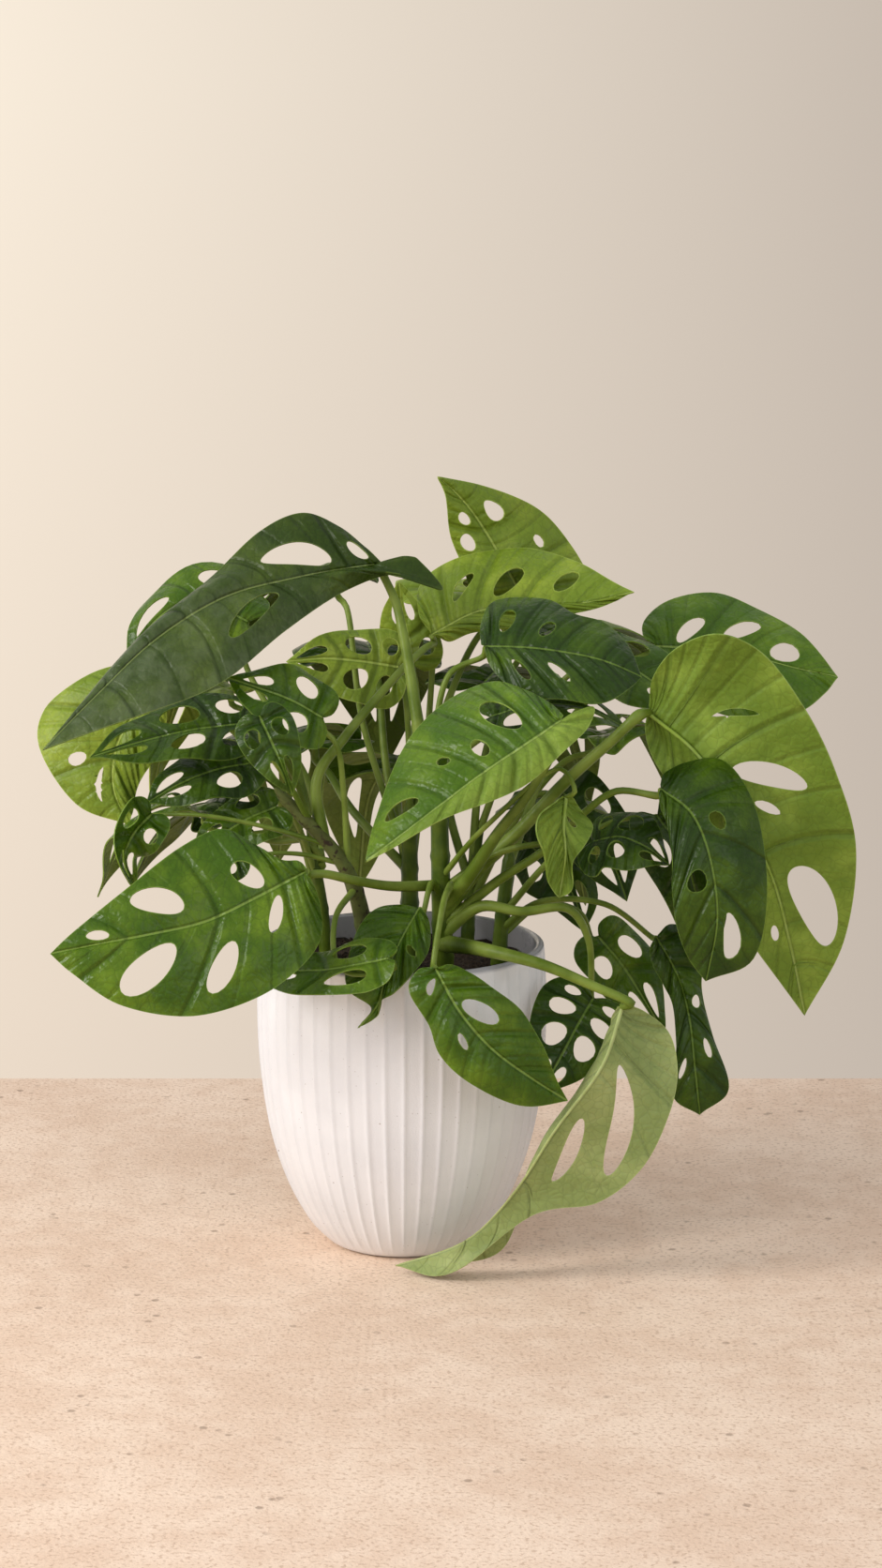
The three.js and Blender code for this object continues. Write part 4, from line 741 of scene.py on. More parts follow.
# The front stem: the thick green stem at the front of the pot. It carries the long dark
# leaf that arches highest, the large folded ones on the right and those that hang over the
# rim. It is one grown piece with its stalks, and the soil holds its foot.
front_stalks = [
    grow_leaf(
        "leaf_high_left", DEEP_WITH_PAINTED_SHEEN,
        rib=[
            (-12, -4, 369), (-53, -14, 363), (-92, -26, 354), (-127, -42, 334), (-156, -60, 308),
            (-182, -78, 283),
        ],
        face=[(0.1, -0.95, 0.35), (-0.3, -0.45, 0.85)], half=(44, 44),
        left=[
            (-10, -4, 370), (6, -4, 372), (22, -12, 356), (-2, -12, 365), (-28, -11, 356),
            (-60, -33, 337), (-92, -57, 315), (-132, -71, 300),
        ],
        right=[
            (-11, -3, 370), (-19, 0, 377), (-33, 5, 388), (-52, 8, 394), (-75, 3, 384),
            (-99, -14, 364), (-125, -30, 344), (-152, -48, 316),
        ],
        lines=[0, 0.33, 0.58, 0.745, 0.88, 1],
        left_holes=[(0.66, 0.46, 0.2, 0.045, 0.16)],
        right_holes=[(0.19, 0.45, 0.28, 0.08, -0.1), (0.475, 0.36, 0.26, 0.07, 0.2)],
        stalk=[
            (20, -30, 238), (15, -27, 254), (9, -20, 286), (5, -12, 311), (1, -5, 332),
            (-3, 2, 348),
        ], root=4.2,
    ),
    grow_leaf(
        "leaf_front_left", MIDDLE,
        rib=[
            (-48, -88, 222), (-72, -98, 211), (-98, -106, 200), (-124, -112, 195),
            (-149, -116, 191), (-176, -118, 186),
        ],
        face=[(-0.05, -0.9, 0.42), (-0.1, -0.92, 0.38)], half=(50, 42),
        left=[
            (-46, -89, 219), (-41, -93, 207), (-40, -100, 191), (-50, -109, 177), (-72, -117, 163),
            (-105, -123, 155), (-140, -125, 161), (-164, -121, 176),
        ],
        right=[
            (-48, -87, 224), (-52, -85, 227), (-61, -85, 227), (-74, -80, 234), (-91, -76, 242),
            (-111, -84, 234), (-136, -98, 217), (-160, -110, 200),
        ],
        lines=[0, 0.18, 0.37, 0.64, 0.85, 1],
        left_holes=[
            (0.44, 0.27, 0.18, 0.033, 0.09), (0.594, 0.57, 0.24, 0.032, 0),
            (0.754, 0.54, 0.35, 0.042, 0),
        ],
        right_holes=[
            (0.514, 0.28, 0.2, 0.046, 0.12), (0.746, 0.55, 0.31, 0.038, 0.05),
            (0.893, 0.42, 0.25, 0.02, 0),
        ],
        stalk=[(20, -30, 202), (-5, -50, 206), (-24, -68, 213), (-39, -80, 219)], root=2.8,
    ),
    grow_leaf(
        "leaf_pot_centre", MIDDLE,
        rib=[(10, -58, 196), (1, -72, 183), (-7, -84, 167), (-12, -88, 151), (-22, -86, 139)],
        face=[(-0.1, -0.6, 0.8), (-0.1, -0.95, 0.25)], half=(23, 23),
        left=[
            (11, -58, 196), (15, -66, 189), (14, -79, 178), (6, -89, 167), (-3, -90, 159),
            (-10, -88, 154), (-12, -88, 146),
        ],
        right=[
            (8, -57, 196), (-1, -52, 197), (-13, -52, 193), (-23, -63, 184), (-28, -75, 169),
            (-26, -82, 158), (-15, -87, 150),
        ],
        lines=[0, 0.3, 0.525, 0.68, 0.85, 1],
        left_holes=[(0.43, 0.6, 0.2, 0.022, -0.25)],
        right_holes=[(0.585, 0.35, 0.18, 0.04, -0.05)],
        stalk=[(21, -30, 196), (16, -42, 206)],
    ),
    grow_leaf(
        "leaf_front_hanging", MIDDLE,
        rib=[(18, -106, 176), (30, -112, 155), (46, -113, 136), (65, -108, 120), (86, -99, 104)],
        face=[(-0.1, -0.85, 0.5), (0.1, -0.95, 0.3)], half=(26, 27),
        left=[
            (20, -106, 176), (26, -104, 177), (35, -104, 173), (47, -105, 165), (62, -103, 153),
            (71, -101, 137), (78, -100, 120),
        ],
        right=[
            (17, -106, 176), (9, -105, 174), (5, -107, 164), (15, -112, 147), (21, -115, 132),
            (36, -116, 118), (62, -109, 104),
        ],
        lines=[0, 0.2, 0.42, 0.69, 0.85, 1],
        left_holes=[(0.578, 0.31, 0.23, 0.07, 0.07)],
        right_holes=[(0.32, 0.34, 0.2, 0.033, 0.12), (0.645, 0.37, 0.1, 0.03, 0.09)],
        stalk=[(22, -30, 192), (26, -56, 208), (22, -86, 204)],
    ),
    grow_leaf(
        "leaf_right_hanging", DEEP,
        rib=[(101, -40, 143), (92, -50, 130), (83, -58, 115), (72, -64, 97)],
        face=[(0.1, -0.9, 0.4), (-0.1, -0.95, 0.2)], half=(25, 26),
        veins=5, fold=(5, 5), curl=(-16, -16), wave=2, lobe=(0.9, 0.9),
        stalk=[(22, -27, 175), (42, -40, 193), (63, -48, 192), (87, -50, 194), (98, -44, 177)],
        root=3.2,
    ),
    grow_leaf(
        "leaf_floor", PALE,
        rib=[
            (114, -84, 150), (103, -99, 122), (80, -98, 89), (59, -88, 52), (34, -76, 22),
            (-3, -63, 4),
        ],
        face=[(-0.3, 0.9, 0.2), (-0.2, 0.85, -0.3)], half=(34, 52),
        left=[
            (112, -83, 150), (110, -78, 143), (109, -76, 134), (102, -78, 117), (91, -80, 102),
            (79, -78, 82), (66, -73, 58), (60, -67, 31), (46, -65, 9),
        ],
        right=[
            (116, -83, 151), (127, -79, 146), (139, -78, 133), (143, -84, 112), (138, -91, 91),
            (125, -91, 66), (102, -88, 47), (69, -87, 39), (25, -79, 5),
        ],
        lines=[0, 0.2, 0.4, 0.78, 0.9, 1],
        right_holes=[(0.543, 0.52, 0.33, 0.05, 0.24), (0.685, 0.38, 0.21, 0.035, 0.21)],
        stalk=[(22, -26, 170), (45, -60, 174), (74, -76, 170), (98, -82, 161)], root=4.4,
    ),
    grow_leaf(
        "leaf_right_big", FRESH,
        rib=[
            (128, -52, 298), (152, -62, 279), (175, -66, 247), (192, -62, 214), (203, -52, 176),
            (213, -36, 133),
        ],
        face=[(0, 0.9, 0.4), (-0.25, 0.95, -0.1)], half=(38, 66),
        left=[
            (127, -52, 295), (126, -51, 287), (130, -52, 276), (139, -56, 262), (150, -64, 245),
            (159, -68, 226), (170, -66, 204), (182, -60, 179), (199, -49, 154),
        ],
        right=[
            (128, -53, 302), (130, -58, 317), (141, -68, 334), (161, -82, 343), (185, -78, 332),
            (206, -74, 305), (223, -70, 271), (236, -60, 228), (232, -46, 177),
        ],
        lines=[0, 0.2, 0.36, 0.56, 0.76, 0.93, 1],
        left_holes=[(0.855, 0.46, 0.13, 0.012, -0.05)],
        right_holes=[
            (0.5, 0.46, 0.17, 0.011, 0.2), (0.643, 0.42, 0.28, 0.027, 0.13),
            (0.695, 0.26, 0.09, 0.013, 0.17), (0.853, 0.51, 0.35, 0.044, 0.08),
        ],
        stalk=[(22, -28, 186), (39, -34, 210), (61, -42, 233), (87, -51, 263), (109, -56, 284)],
        root=4.2,
    ),
    grow_leaf(
        "leaf_right_mid", DEEP,
        rib=[
            (133, -80, 263), (148, -92, 253), (157, -101, 232), (161, -104, 201), (156, -98, 167),
        ],
        face=[(0.15, -0.85, 0.5), (0.1, -0.98, 0.15)], half=(28, 30),
        left=[
            (133, -78, 265), (136, -71, 270), (148, -64, 275), (167, -68, 274), (182, -83, 252),
            (187, -95, 216), (180, -96, 179),
        ],
        right=[
            (132, -81, 261), (133, -87, 255), (136, -93, 247), (138, -102, 234), (138, -106, 218),
            (140, -105, 199), (147, -99, 179),
        ],
        lines=[0, 0.25, 0.5, 0.67, 0.81, 1],
        left_holes=[(0.612, 0.3, 0.11, 0.03, 0), (0.88, 0.44, 0.26, 0.04, 0.05)],
        right_holes=[(0.738, 0.39, 0.22, 0.031, -0.16)],
        stalk=[(22, -28, 180), (50, -40, 206), (74, -56, 226), (94, -68, 248), (111, -74, 261)],
        root=2.8,
    ),
    grow_leaf(
        "leaf_front_pale_small", FRESH,
        rib=[(84, -86, 260), (83, -94, 247), (84, -98, 232), (81, -96, 210)],
        face=[(-0.2, 0.7, 0.6), (-0.2, 0.9, 0.2)], half=(14, 14),
        left=[
            (83, -87, 261), (78, -95, 259), (71, -106, 255), (70, -112, 245), (73, -105, 232),
            (75, -103, 222), (78, -98, 214),
        ],
        right=[
            (85, -84, 261), (89, -82, 258), (94, -81, 252), (98, -80, 244), (94, -94, 237),
            (88, -100, 229), (88, -98, 217), (85, -96, 212),
        ],
        lines=[0, 0.3, 0.6, 0.8, 1],
        right_holes=[(0.45, 0.4, 0.22, 0.03, -0.05)],
        stalk=[(21, -30, 206), (44, -62, 240), (82, -82, 274)],
    ),
    grow_leaf(
        "leaf_front_dark_small", DEEP,
        rib=[(100, -62, 232), (113, -70, 236), (126, -76, 232), (138, -78, 223)],
        face=[(0.1, -0.6, 0.8), (0.3, -0.7, 0.6)], half=(22, 24),
        veins=4, fold=(8, 8), curl=(-25, -25), wave=2,
        stalk=[(22, -29, 200), (50, -44, 222), (82, -56, 230)],
    ),
    grow_leaf(
        "leaf_front_centre", FRESH,
        rib=[
            (82, -88, 300), (63, -98, 289), (42, -106, 276), (21, -112, 261), (0, -114, 245),
            (-17, -112, 232),
        ],
        face=[(0, -0.5, 0.85), (0.05, -0.6, 0.8)], half=(36, 38),
        left=[
            (84, -88, 300), (98, -84, 307), (95, -92, 297), (83, -102, 286), (66, -110, 273),
            (47, -117, 265), (25, -120, 256), (3, -118, 244),
        ],
        right=[
            (83, -85, 302), (78, -77, 306), (65, -62, 310), (47, -50, 314), (27, -54, 307),
            (9, -67, 291), (-4, -82, 272), (-12, -93, 253),
        ],
        lines=[0, 0.2, 0.4, 0.56, 0.67, 0.78, 0.92, 1],
        right_holes=[
            (0.474, 0.41, 0.24, 0.053, 0.02), (0.62, 0.25, 0.11, 0.022, -0.05),
            (0.7, 0.45, 0.07, 0.016, 0), (0.85, 0.49, 0.2, 0.03, 0.11),
        ],
        stalk=[(22, -29, 190), (35, -44, 209), (51, -60, 237), (65, -72, 258), (76, -80, 278)],
        root=4, turned=True,
    ),
    grow_leaf(
        "leaf_top_dark", DEEP,
        rib=[(44, -24, 328), (65, -28, 328), (86, -32, 326), (106, -36, 322), (125, -38, 314)],
        face=[(-0.1, -0.6, 0.8), (0.2, -0.7, 0.7)], half=(26, 26),
        left=[
            (42, -22, 329), (42, -9, 337), (48, 5, 346), (62, 9, 350), (78, 4, 349), (91, -9, 342),
            (107, -12, 339), (118, -21, 330),
        ],
        right=[
            (44, -26, 326), (47, -33, 318), (57, -43, 310), (69, -49, 305), (84, -52, 304),
            (98, -53, 303), (110, -50, 305), (119, -43, 309),
        ],
        lines=[0, 0.25, 0.5, 0.72, 0.88, 1],
        left_holes=[(0.37, 0.42, 0.2, 0.05, 0), (0.61, 0.4, 0.16, 0.03, 0)],
        right_holes=[(0.4, 0.5, 0.2, 0.04, 0), (0.61, 0.5, 0.18, 0.03, 0)],
        stalk=[(20, -30, 236), (18, -26, 280), (26, -22, 314)],
    ),
    grow_leaf(
        "leaf_centre_dark", DEEP,
        rib=[(47, -30, 292), (70, -36, 299), (95, -38, 298), (117, -36, 287)],
        face=[(0, -0.4, 0.9), (0.2, -0.5, 0.85)], half=(24, 24),
        veins=3, fold=(6, 6), curl=(-25, -25), wave=2,
        stalk=[(20, -30, 228), (26, -30, 258), (34, -30, 274)],
    ),
]
raise_stem(
    "stem_front", [(22, -20, 128), (22, -24, 165), (21, -30, 200), (20, -30, 246)],
    6, 4.5, STEM_SKIN, front_stalks,
)

# The left stem: the oldest one, brown and marked low down, which leans to the left. It
# carries the pale leaf at the top of the plant and the small ones beside the pot.
left_stalks = [
    grow_leaf(
        "leaf_pot_left", MIDDLE,
        rib=[(-6, -96, 178), (-35, -90, 171), (-58, -78, 167), (-76, -64, 162)],
        face=[(0, -0.55, 0.85), (-0.1, -0.6, 0.8)], half=(18, 18),
        veins=3, fold=(5, 5), curl=(-20, -20), wave=1.5, lobe=(0.5, 0.5),
        stalk=[(-24, -26, 200), (-34, -56, 190), (-33, -77, 172), (-23, -92, 169)],
    ),
    grow_leaf(
        "leaf_top_pale", LIME_WITH_PAINTED_GLOW,
        rib=[(16, 36, 325), (41, 34, 338), (69, 34, 341), (97, 30, 343), (124, 24, 350)],
        face=[(0, -0.7, 0.7), (0.05, -0.7, 0.7)], half=(34, 25),
        left=[
            (15, 38, 327), (9, 49, 335), (9, 63, 348), (21, 63, 358), (42, 66, 366), (68, 67, 369),
            (93, 56, 362), (111, 37, 355),
        ],
        right=[
            (19, 35, 325), (26, 31, 323), (38, 28, 327), (56, 22, 331), (73, 25, 333),
            (88, 28, 336), (102, 27, 340), (114, 25, 346),
        ],
        lines=[0, 0.2, 0.38, 0.555, 0.72, 0.87, 1],
        left_holes=[
            (0.471, 0.43, 0.17, 0.034, 0.15), (0.639, 0.38, 0.22, 0.034, 0.05),
            (0.793, 0.55, 0.25, 0.024, 0),
        ],
        stalk=[
            (-40, -28, 222), (-44, -24, 258), (-30, -14, 278), (-14, -2, 296), (2, 12, 312),
            (13, 26, 320),
        ], root=3.2,
    ),
    grow_leaf(
        "leaf_left_inner", MIDDLE,
        rib=[(-41, -34, 292), (-57, -38, 302), (-73, -38, 308), (-90, -34, 313)],
        face=[(0.1, -0.7, 0.7), (-0.2, -0.7, 0.7)], half=(24, 22),
        veins=3, fold=(10, 10), curl=(-25, -25), wave=2,
        stalk=[(-28, -27, 208), (-30, -28, 250), (-34, -30, 278)],
    ),
    grow_leaf(
        "leaf_left_hanging", DEEP,
        rib=[(-72, -60, 297), (-66, -68, 286), (-60, -72, 273), (-55, -70, 258)],
        face=[(-0.2, -0.8, 0.6), (0, -0.95, 0.3)], half=(15, 16),
        veins=3, fold=(8, 8), curl=(-20, -20), wave=1.5,
        stalk=[(-48, -29, 236), (-60, -42, 262), (-72, -52, 284)],
    ),
    grow_leaf(
        "leaf_twisted", MIDDLE,
        rib=[(-131, -30, 240), (-140, -36, 231), (-145, -40, 218), (-139, -38, 201)],
        face=[(0.4, -0.7, 0.5), (0.9, -0.4, 0)], half=(15, 15),
        veins=3, fold=(12, 12), curl=(22, 22), wave=1.5,
        stalk=[(-40, -29, 224), (-70, -34, 234), (-104, -32, 240)], small=True,
    ),
    grow_leaf(
        "leaf_small_left", DEEP,
        rib=[(-84, -44, 221), (-94, -47, 219), (-104, -49, 214), (-113, -49, 206)],
        face=[(0, -0.7, 0.7), (-0.2, -0.8, 0.6)], half=(14, 14),
        veins=3, fold=(8, 8), curl=(-20, -20), wave=1,
        stalk=[(-34, -28, 214), (-54, -35, 220), (-72, -42, 221)], small=True,
    ),
    grow_leaf(
        "leaf_low_left", MIDDLE,
        rib=[(-66, -10, 240), (-82, -15, 234), (-97, -19, 225), (-112, -22, 214)],
        face=[(0, -0.6, 0.8), (-0.2, -0.8, 0.5)], half=(18, 18),
        veins=3, fold=(8, 8), curl=(-22, -22), wave=1.5,
        stalk=[(-22, -25, 190), (-34, -16, 216), (-52, -10, 234)],
    ),
]
raise_stem(
    "stem_left", [(-16, -20, 128), (-20, -24, 180), (-30, -28, 212), (-66, -30, 254)],
    5.5, 3, OLD_SKIN, left_stalks,
)

# The left back stem: a thin one near the pot's left side, with the yellow-green leaf whose glow
# from the light coming through is painted into its colour, and the dark ones in front of it.
left_back_stalks = [
    grow_leaf(
        "leaf_back_lit", LIME_WITH_PAINTED_GLOW,
        rib=[(-132, 32, 293), (-145, 30, 281), (-154, 28, 264), (-155, 24, 244), (-147, 18, 225)],
        face=[(-0.1, -0.85, 0.5), (-0.1, -0.95, 0.2)], half=(32, 30),
        left=[
            (-130, 31, 292), (-126, 28, 283), (-129, 24, 270), (-135, 22, 257), (-141, 25, 247),
            (-144, 24, 239), (-145, 20, 231),
        ],
        right=[
            (-133, 34, 295), (-137, 41, 304), (-153, 48, 307), (-175, 49, 298), (-195, 48, 282),
            (-196, 39, 262), (-175, 27, 234),
        ],
        lines=[0, 0.3, 0.55, 0.785, 1],
        right_holes=[(0.76, 0.54, 0.14, 0.018, 0.02), (0.85, 0.34, 0.17, 0.018, 0.27)],
        stalk=[(-42, 13, 172), (-62, 20, 238), (-100, 28, 282)],
    ),
    grow_leaf(
        "leaf_left_upper", DEEP,
        rib=[(-80, 2, 283), (-111, -3, 280), (-137, -10, 275), (-164, -18, 268)],
        face=[(0, -0.5, 0.85), (-0.2, -0.6, 0.8)], half=(24, 26),
        veins=4, fold=(8, 10), curl=(-20, -20), wave=2,
        stalk=[(-43, 13, 180), (-52, 14, 236), (-66, 8, 268)],
    ),
    grow_leaf(
        "leaf_left_lower", DEEP,
        rib=[(-80, -2, 262), (-100, -8, 259), (-119, -14, 252), (-135, -18, 243)],
        face=[(0, -0.6, 0.8), (-0.2, -0.7, 0.7)], half=(20, 20),
        veins=3, fold=(6, 8), curl=(-20, -20), wave=2,
        stalk=[(-46, 14, 198), (-58, 8, 232), (-70, 2, 252)],
    ),
    grow_leaf(
        "leaf_behind_left", MIDDLE,
        rib=[(-84, 52, 330), (-108, 50, 342), (-130, 46, 334), (-149, 40, 311)],
        face=[(0.1, -0.7, 0.7), (-0.5, -0.5, 0.6)], half=(26, 28),
        veins=3, fold=(10, 10), curl=(-35, -35), wave=3,
        stalk=[(-45, 14, 190), (-58, 34, 258), (-86, 58, 308)],
    ),
]

# The right stem: it leans to the right and carries the low dark leaves that hang beside the
# pot, the ones behind them, and the high one at the plant's right edge.
right_stalks = [
    grow_leaf(
        "leaf_right_low_dark", DEEP,
        rib=[(135, -22, 172), (146, -30, 153), (152, -36, 132), (155, -40, 107), (158, -40, 80)],
        face=[(0.1, -0.9, 0.4), (0.15, -0.98, 0.1)], half=(22, 22),
        left=[
            (136, -21, 173), (143, -17, 178), (156, -16, 174), (160, -23, 162), (159, -30, 146),
            (165, -35, 121), (173, -36, 93),
        ],
        right=[
            (134, -22, 171), (132, -24, 166), (133, -28, 158), (139, -32, 148), (144, -35, 137),
            (145, -40, 115), (144, -41, 90),
        ],
        lines=[0, 0.25, 0.5, 0.73, 0.875, 1],
        left_holes=[(0.65, 0.52, 0.25, 0.022, -0.11), (0.797, 0.45, 0.13, 0.026, -0.06)],
        right_holes=[(0.836, 0.5, 0.2, 0.018, 0)],
        stalk=[(53, -2, 172), (74, -16, 190), (108, -22, 190)],
    ),
    grow_leaf(
        "leaf_right_low_back", MIDDLE,
        rib=[(106, 12, 164), (119, 8, 149), (130, 4, 132), (142, 2, 112)],
        face=[(0.2, -0.8, 0.6), (0.2, -0.9, 0.3)], half=(20, 20),
        veins=3, fold=(5, 5), curl=(-18, -18), wave=2,
        stalk=[(53, -2, 168), (76, 6, 184), (96, 11, 178)],
    ),
    grow_leaf(
        "leaf_right_back_high", FRESH,
        rib=[(138, 62, 315), (163, 66, 313), (189, 66, 309), (214, 62, 303), (237, 56, 299)],
        face=[(0, -0.75, 0.65), (0.2, -0.75, 0.65)], half=(34, 34),
        left=[
            (138, 63, 316), (132, 65, 319), (133, 77, 328), (147, 89, 336), (174, 97, 339),
            (198, 93, 331), (217, 83, 320), (231, 66, 306),
        ],
        right=[
            (139, 61, 313), (135, 55, 305), (144, 49, 294), (161, 47, 285), (181, 46, 279),
            (201, 47, 278), (218, 48, 282), (230, 51, 292),
        ],
        lines=[0, 0.18, 0.36, 0.56, 0.73, 0.9, 1],
        left_holes=[
            (0.46, 0.27, 0.2, 0.05, 0.16), (0.65, 0.45, 0.25, 0.038, 0.06),
            (0.811, 0.38, 0.28, 0.038, -0.03),
        ],
        right_holes=[(0.46, 0.5, 0.2, 0.04, 0), (0.65, 0.48, 0.2, 0.04, 0)],
        stalk=[(57, 0, 206), (86, 34, 272), (122, 58, 306)],
    ),
    grow_leaf(
        "leaf_right_inner", DEEP,
        rib=[(134, -34, 240), (148, -40, 220), (156, -42, 190), (158, -38, 156)],
        face=[(0.3, -0.8, 0.5), (0.3, -0.95, 0.1)], half=(24, 22),
        veins=3, fold=(6, 6), curl=(-18, -18), wave=2,
        stalk=[(54, -2, 180), (84, -20, 218), (116, -32, 238)],
    ),
]
raise_stem(
    "stem_right", [(50, -2, 128), (53, -2, 170), (58, 0, 215)], 4.5, 3.5, STEM_SKIN, right_stalks
)

# The back stem and the back right stem: one of the tall leaves at the top of the plant and
# two that show through its middle stand on the first, three inner ones on the second, and
# both also carry drooping leaves of the far side.
back_stalks = [
    grow_leaf(
        "leaf_top", LIME_WITH_PAINTED_GLOW,
        rib=[(68, 68, 336), (57, 71, 356), (45, 71, 377), (33, 66, 394), (19, 60, 408)],
        face=[(0.15, -0.85, 0.5), (0, -0.9, 0.4)], half=(30, 34),
        left=[
            (65, 67, 334), (59, 64, 324), (46, 63, 330), (38, 66, 343), (32, 68, 360),
            (26, 65, 377), (23, 62, 397),
        ],
        right=[
            (71, 69, 333), (83, 71, 326), (97, 81, 335), (101, 88, 351), (90, 91, 371),
            (72, 90, 388), (45, 75, 401),
        ],
        lines=[0, 0.2, 0.4, 0.56, 0.745, 0.87, 1],
        left_holes=[(0.685, 0.66, 0.18, 0.038, -0.09), (0.79, 0.52, 0.2, 0.026, -0.04)],
        right_holes=[(0.797, 0.42, 0.2, 0.038, 0.06), (0.62, 0.6, 0.07, 0.028, 0)],
        stalk=[(4, 29, 220), (22, 48, 280), (46, 74, 324)],
    ),
    grow_leaf(
        "leaf_back_left_mid", LIME_WITH_PAINTED_GLOW,
        rib=[(-2, 34, 308), (-21, 34, 311), (-41, 32, 313), (-62, 28, 312)],
        face=[(0.05, -0.85, 0.5), (0, -0.85, 0.5)], half=(25, 20),
        veins=4, fold=(6, 6), curl=(-15, -15), wave=2.5,
        stalk=[(4, 28, 206), (4, 30, 256), (2, 33, 290)],
    ),
    grow_leaf(
        "leaf_centre_yellow", LIME_WITH_PAINTED_GLOW,
        rib=[(6, 52, 306), (4, 56, 318), (0, 58, 335), (-2, 56, 352)],
        face=[(0, -0.9, 0.4), (0, -0.95, 0.3)], half=(17, 17),
        veins=3, fold=(8, 8), curl=(-15, -15), wave=1.5,
        stalk=[(4, 30, 234), (6, 44, 272), (8, 56, 292)],
    ),
]
back_right_stalks = [
    grow_leaf(
        "leaf_right_centre", MIDDLE,
        rib=[(108, 24, 316), (124, 20, 309), (140, 12, 298), (154, 4, 281)],
        face=[(0.1, -0.6, 0.8), (0.3, -0.7, 0.6)], half=(24, 24),
        veins=3, fold=(6, 6), curl=(-22, -22), wave=2,
        stalk=[(41, 43, 214), (62, 40, 268), (92, 30, 306)],
    ),
    grow_leaf(
        "leaf_inner_right", DEEP,
        rib=[(87, 40, 238), (102, 38, 221), (114, 34, 201), (122, 30, 180)],
        face=[(0.2, -0.7, 0.7), (0.2, -0.9, 0.3)], half=(24, 24),
        veins=3, fold=(6, 6), curl=(-18, -18), wave=2,
        stalk=[(38, 41, 190), (56, 42, 222), (74, 44, 236)],
    ),
    grow_leaf(
        "leaf_inner_low", DEEP,
        rib=[(66, 56, 208), (82, 58, 194), (94, 54, 177), (100, 50, 158)],
        face=[(0.2, -0.7, 0.7), (0.2, -0.9, 0.3)], half=(22, 22),
        veins=3, fold=(6, 6), curl=(-18, -18), wave=2,
        stalk=[(37, 40, 182), (50, 48, 200)],
    ),
]

# The far side: twelve drooping leaves set round the back of the plant by their bearing, so
# that it is a full dome from every side. 90 degrees is straight to the back. They are the
# last leaves of the three back stems, which are raised here.
BACK_STEM = [(4, 24, 128), (4, 27, 180), (4, 30, 236)]
BACK_RIGHT_STEM = [(34, 36, 128), (37, 40, 180), (42, 44, 222)]
LEFT_BACK_STEM = [(-40, 12, 128), (-43, 13, 180), (-50, 16, 220)]
FAR_HOLES = [(1, 0.5, 0.27, 0.6), (2, 0.4, 0.16, 0.42)]
CROWN_BACK = 16
CROWN_WIDE = 14
CROWN_DEEP = 10
FAR_LEAVES = [  # bearing, height, reach, length, fall, half width, sweep of the tip, stem
    (16, 268, 96, 92, 78, 32, 20, BACK_RIGHT_STEM, back_right_stalks, MIDDLE),
    (37, 320, 80, 106, 62, 34, -18, BACK_RIGHT_STEM, back_right_stalks, MIDDLE),
    (48, 218, 92, 88, 70, 30, 16, BACK_RIGHT_STEM, back_right_stalks, DEEP),
    (62, 288, 76, 110, 84, 38, -14, BACK_RIGHT_STEM, back_right_stalks, DEEP),
    (72, 340, 58, 96, 62, 30, -22, BACK_STEM, back_stalks, LIME_WITH_PAINTED_GLOW),
    (92, 236, 82, 98, 84, 42, 14, BACK_STEM, back_stalks, MIDDLE),
    (100, 302, 76, 104, 80, 42, -12, BACK_STEM, back_stalks, DEEP),
    (122, 254, 78, 102, 84, 44, -16, BACK_STEM, back_stalks, MIDDLE),
    (119, 348, 60, 92, 60, 28, 28, BACK_STEM, back_stalks, DEEP),
    (150, 220, 84, 88, 70, 30, 18, LEFT_BACK_STEM, left_back_stalks, DEEP),
    (152, 290, 92, 84, 70, 28, -20, LEFT_BACK_STEM, left_back_stalks, LIME_WITH_PAINTED_GLOW),
    (180, 232, 92, 74, 52, 24, -22, LEFT_BACK_STEM, left_back_stalks, MIDDLE),
]
for i, far_leaf in enumerate(FAR_LEAVES):
    bearing, height, reach, length, fall, half, sweep, stem, stalks, skin = far_leaf
    turn, swept = math.radians(bearing), math.radians(bearing + sweep)
    out = Vector((math.cos(turn), math.sin(turn), 0))
    off = Vector((math.cos(swept), math.sin(swept), 0))
    middle = Vector((CROWN_WIDE * out.x, CROWN_BACK + CROWN_DEEP * out.y, 0))
    lift = Vector((0, 0, 1))
    base = middle + out * reach + lift * height
    foot = (stem[1][0], stem[1][1], min(stem[2][2] - 10, 176 + i * 3))
    rib = [
        base,
        middle + out * (reach + length * 0.32) + lift * (height + 4),
        base + off * length * 0.64 - lift * fall * 0.3,
        base + off * length * 0.88 - lift * fall,
    ]
    halfway = middle + out * reach * 0.5 + lift * (foot[2] + (height - foot[2]) * 0.5)
    near = middle + out * reach * 0.82 + lift * (height - 12)
    stalks.append(
        grow_leaf(
            f"leaf_far_{i + 1}", skin, rib=rib,
            face=[(0.3 * out.x, 0.3 * out.y, 0.9), (0.9 * off.x, 0.9 * off.y, 0.35)],
            half=(half, half), veins=3, fold=(8, 8), curl=(-28, -28), wave=3,
            holes=FAR_HOLES, stalk=[foot, halfway, near],
        )
    )
raise_stem("stem_left_back", LEFT_BACK_STEM, 4, 3, STEM_SKIN, left_back_stalks)
raise_stem("stem_back", BACK_STEM, 5.5, 4, STEM_SKIN, back_stalks)
raise_stem("stem_back_right", BACK_RIGHT_STEM, 4, 3, STEM_SKIN, back_right_stalks)

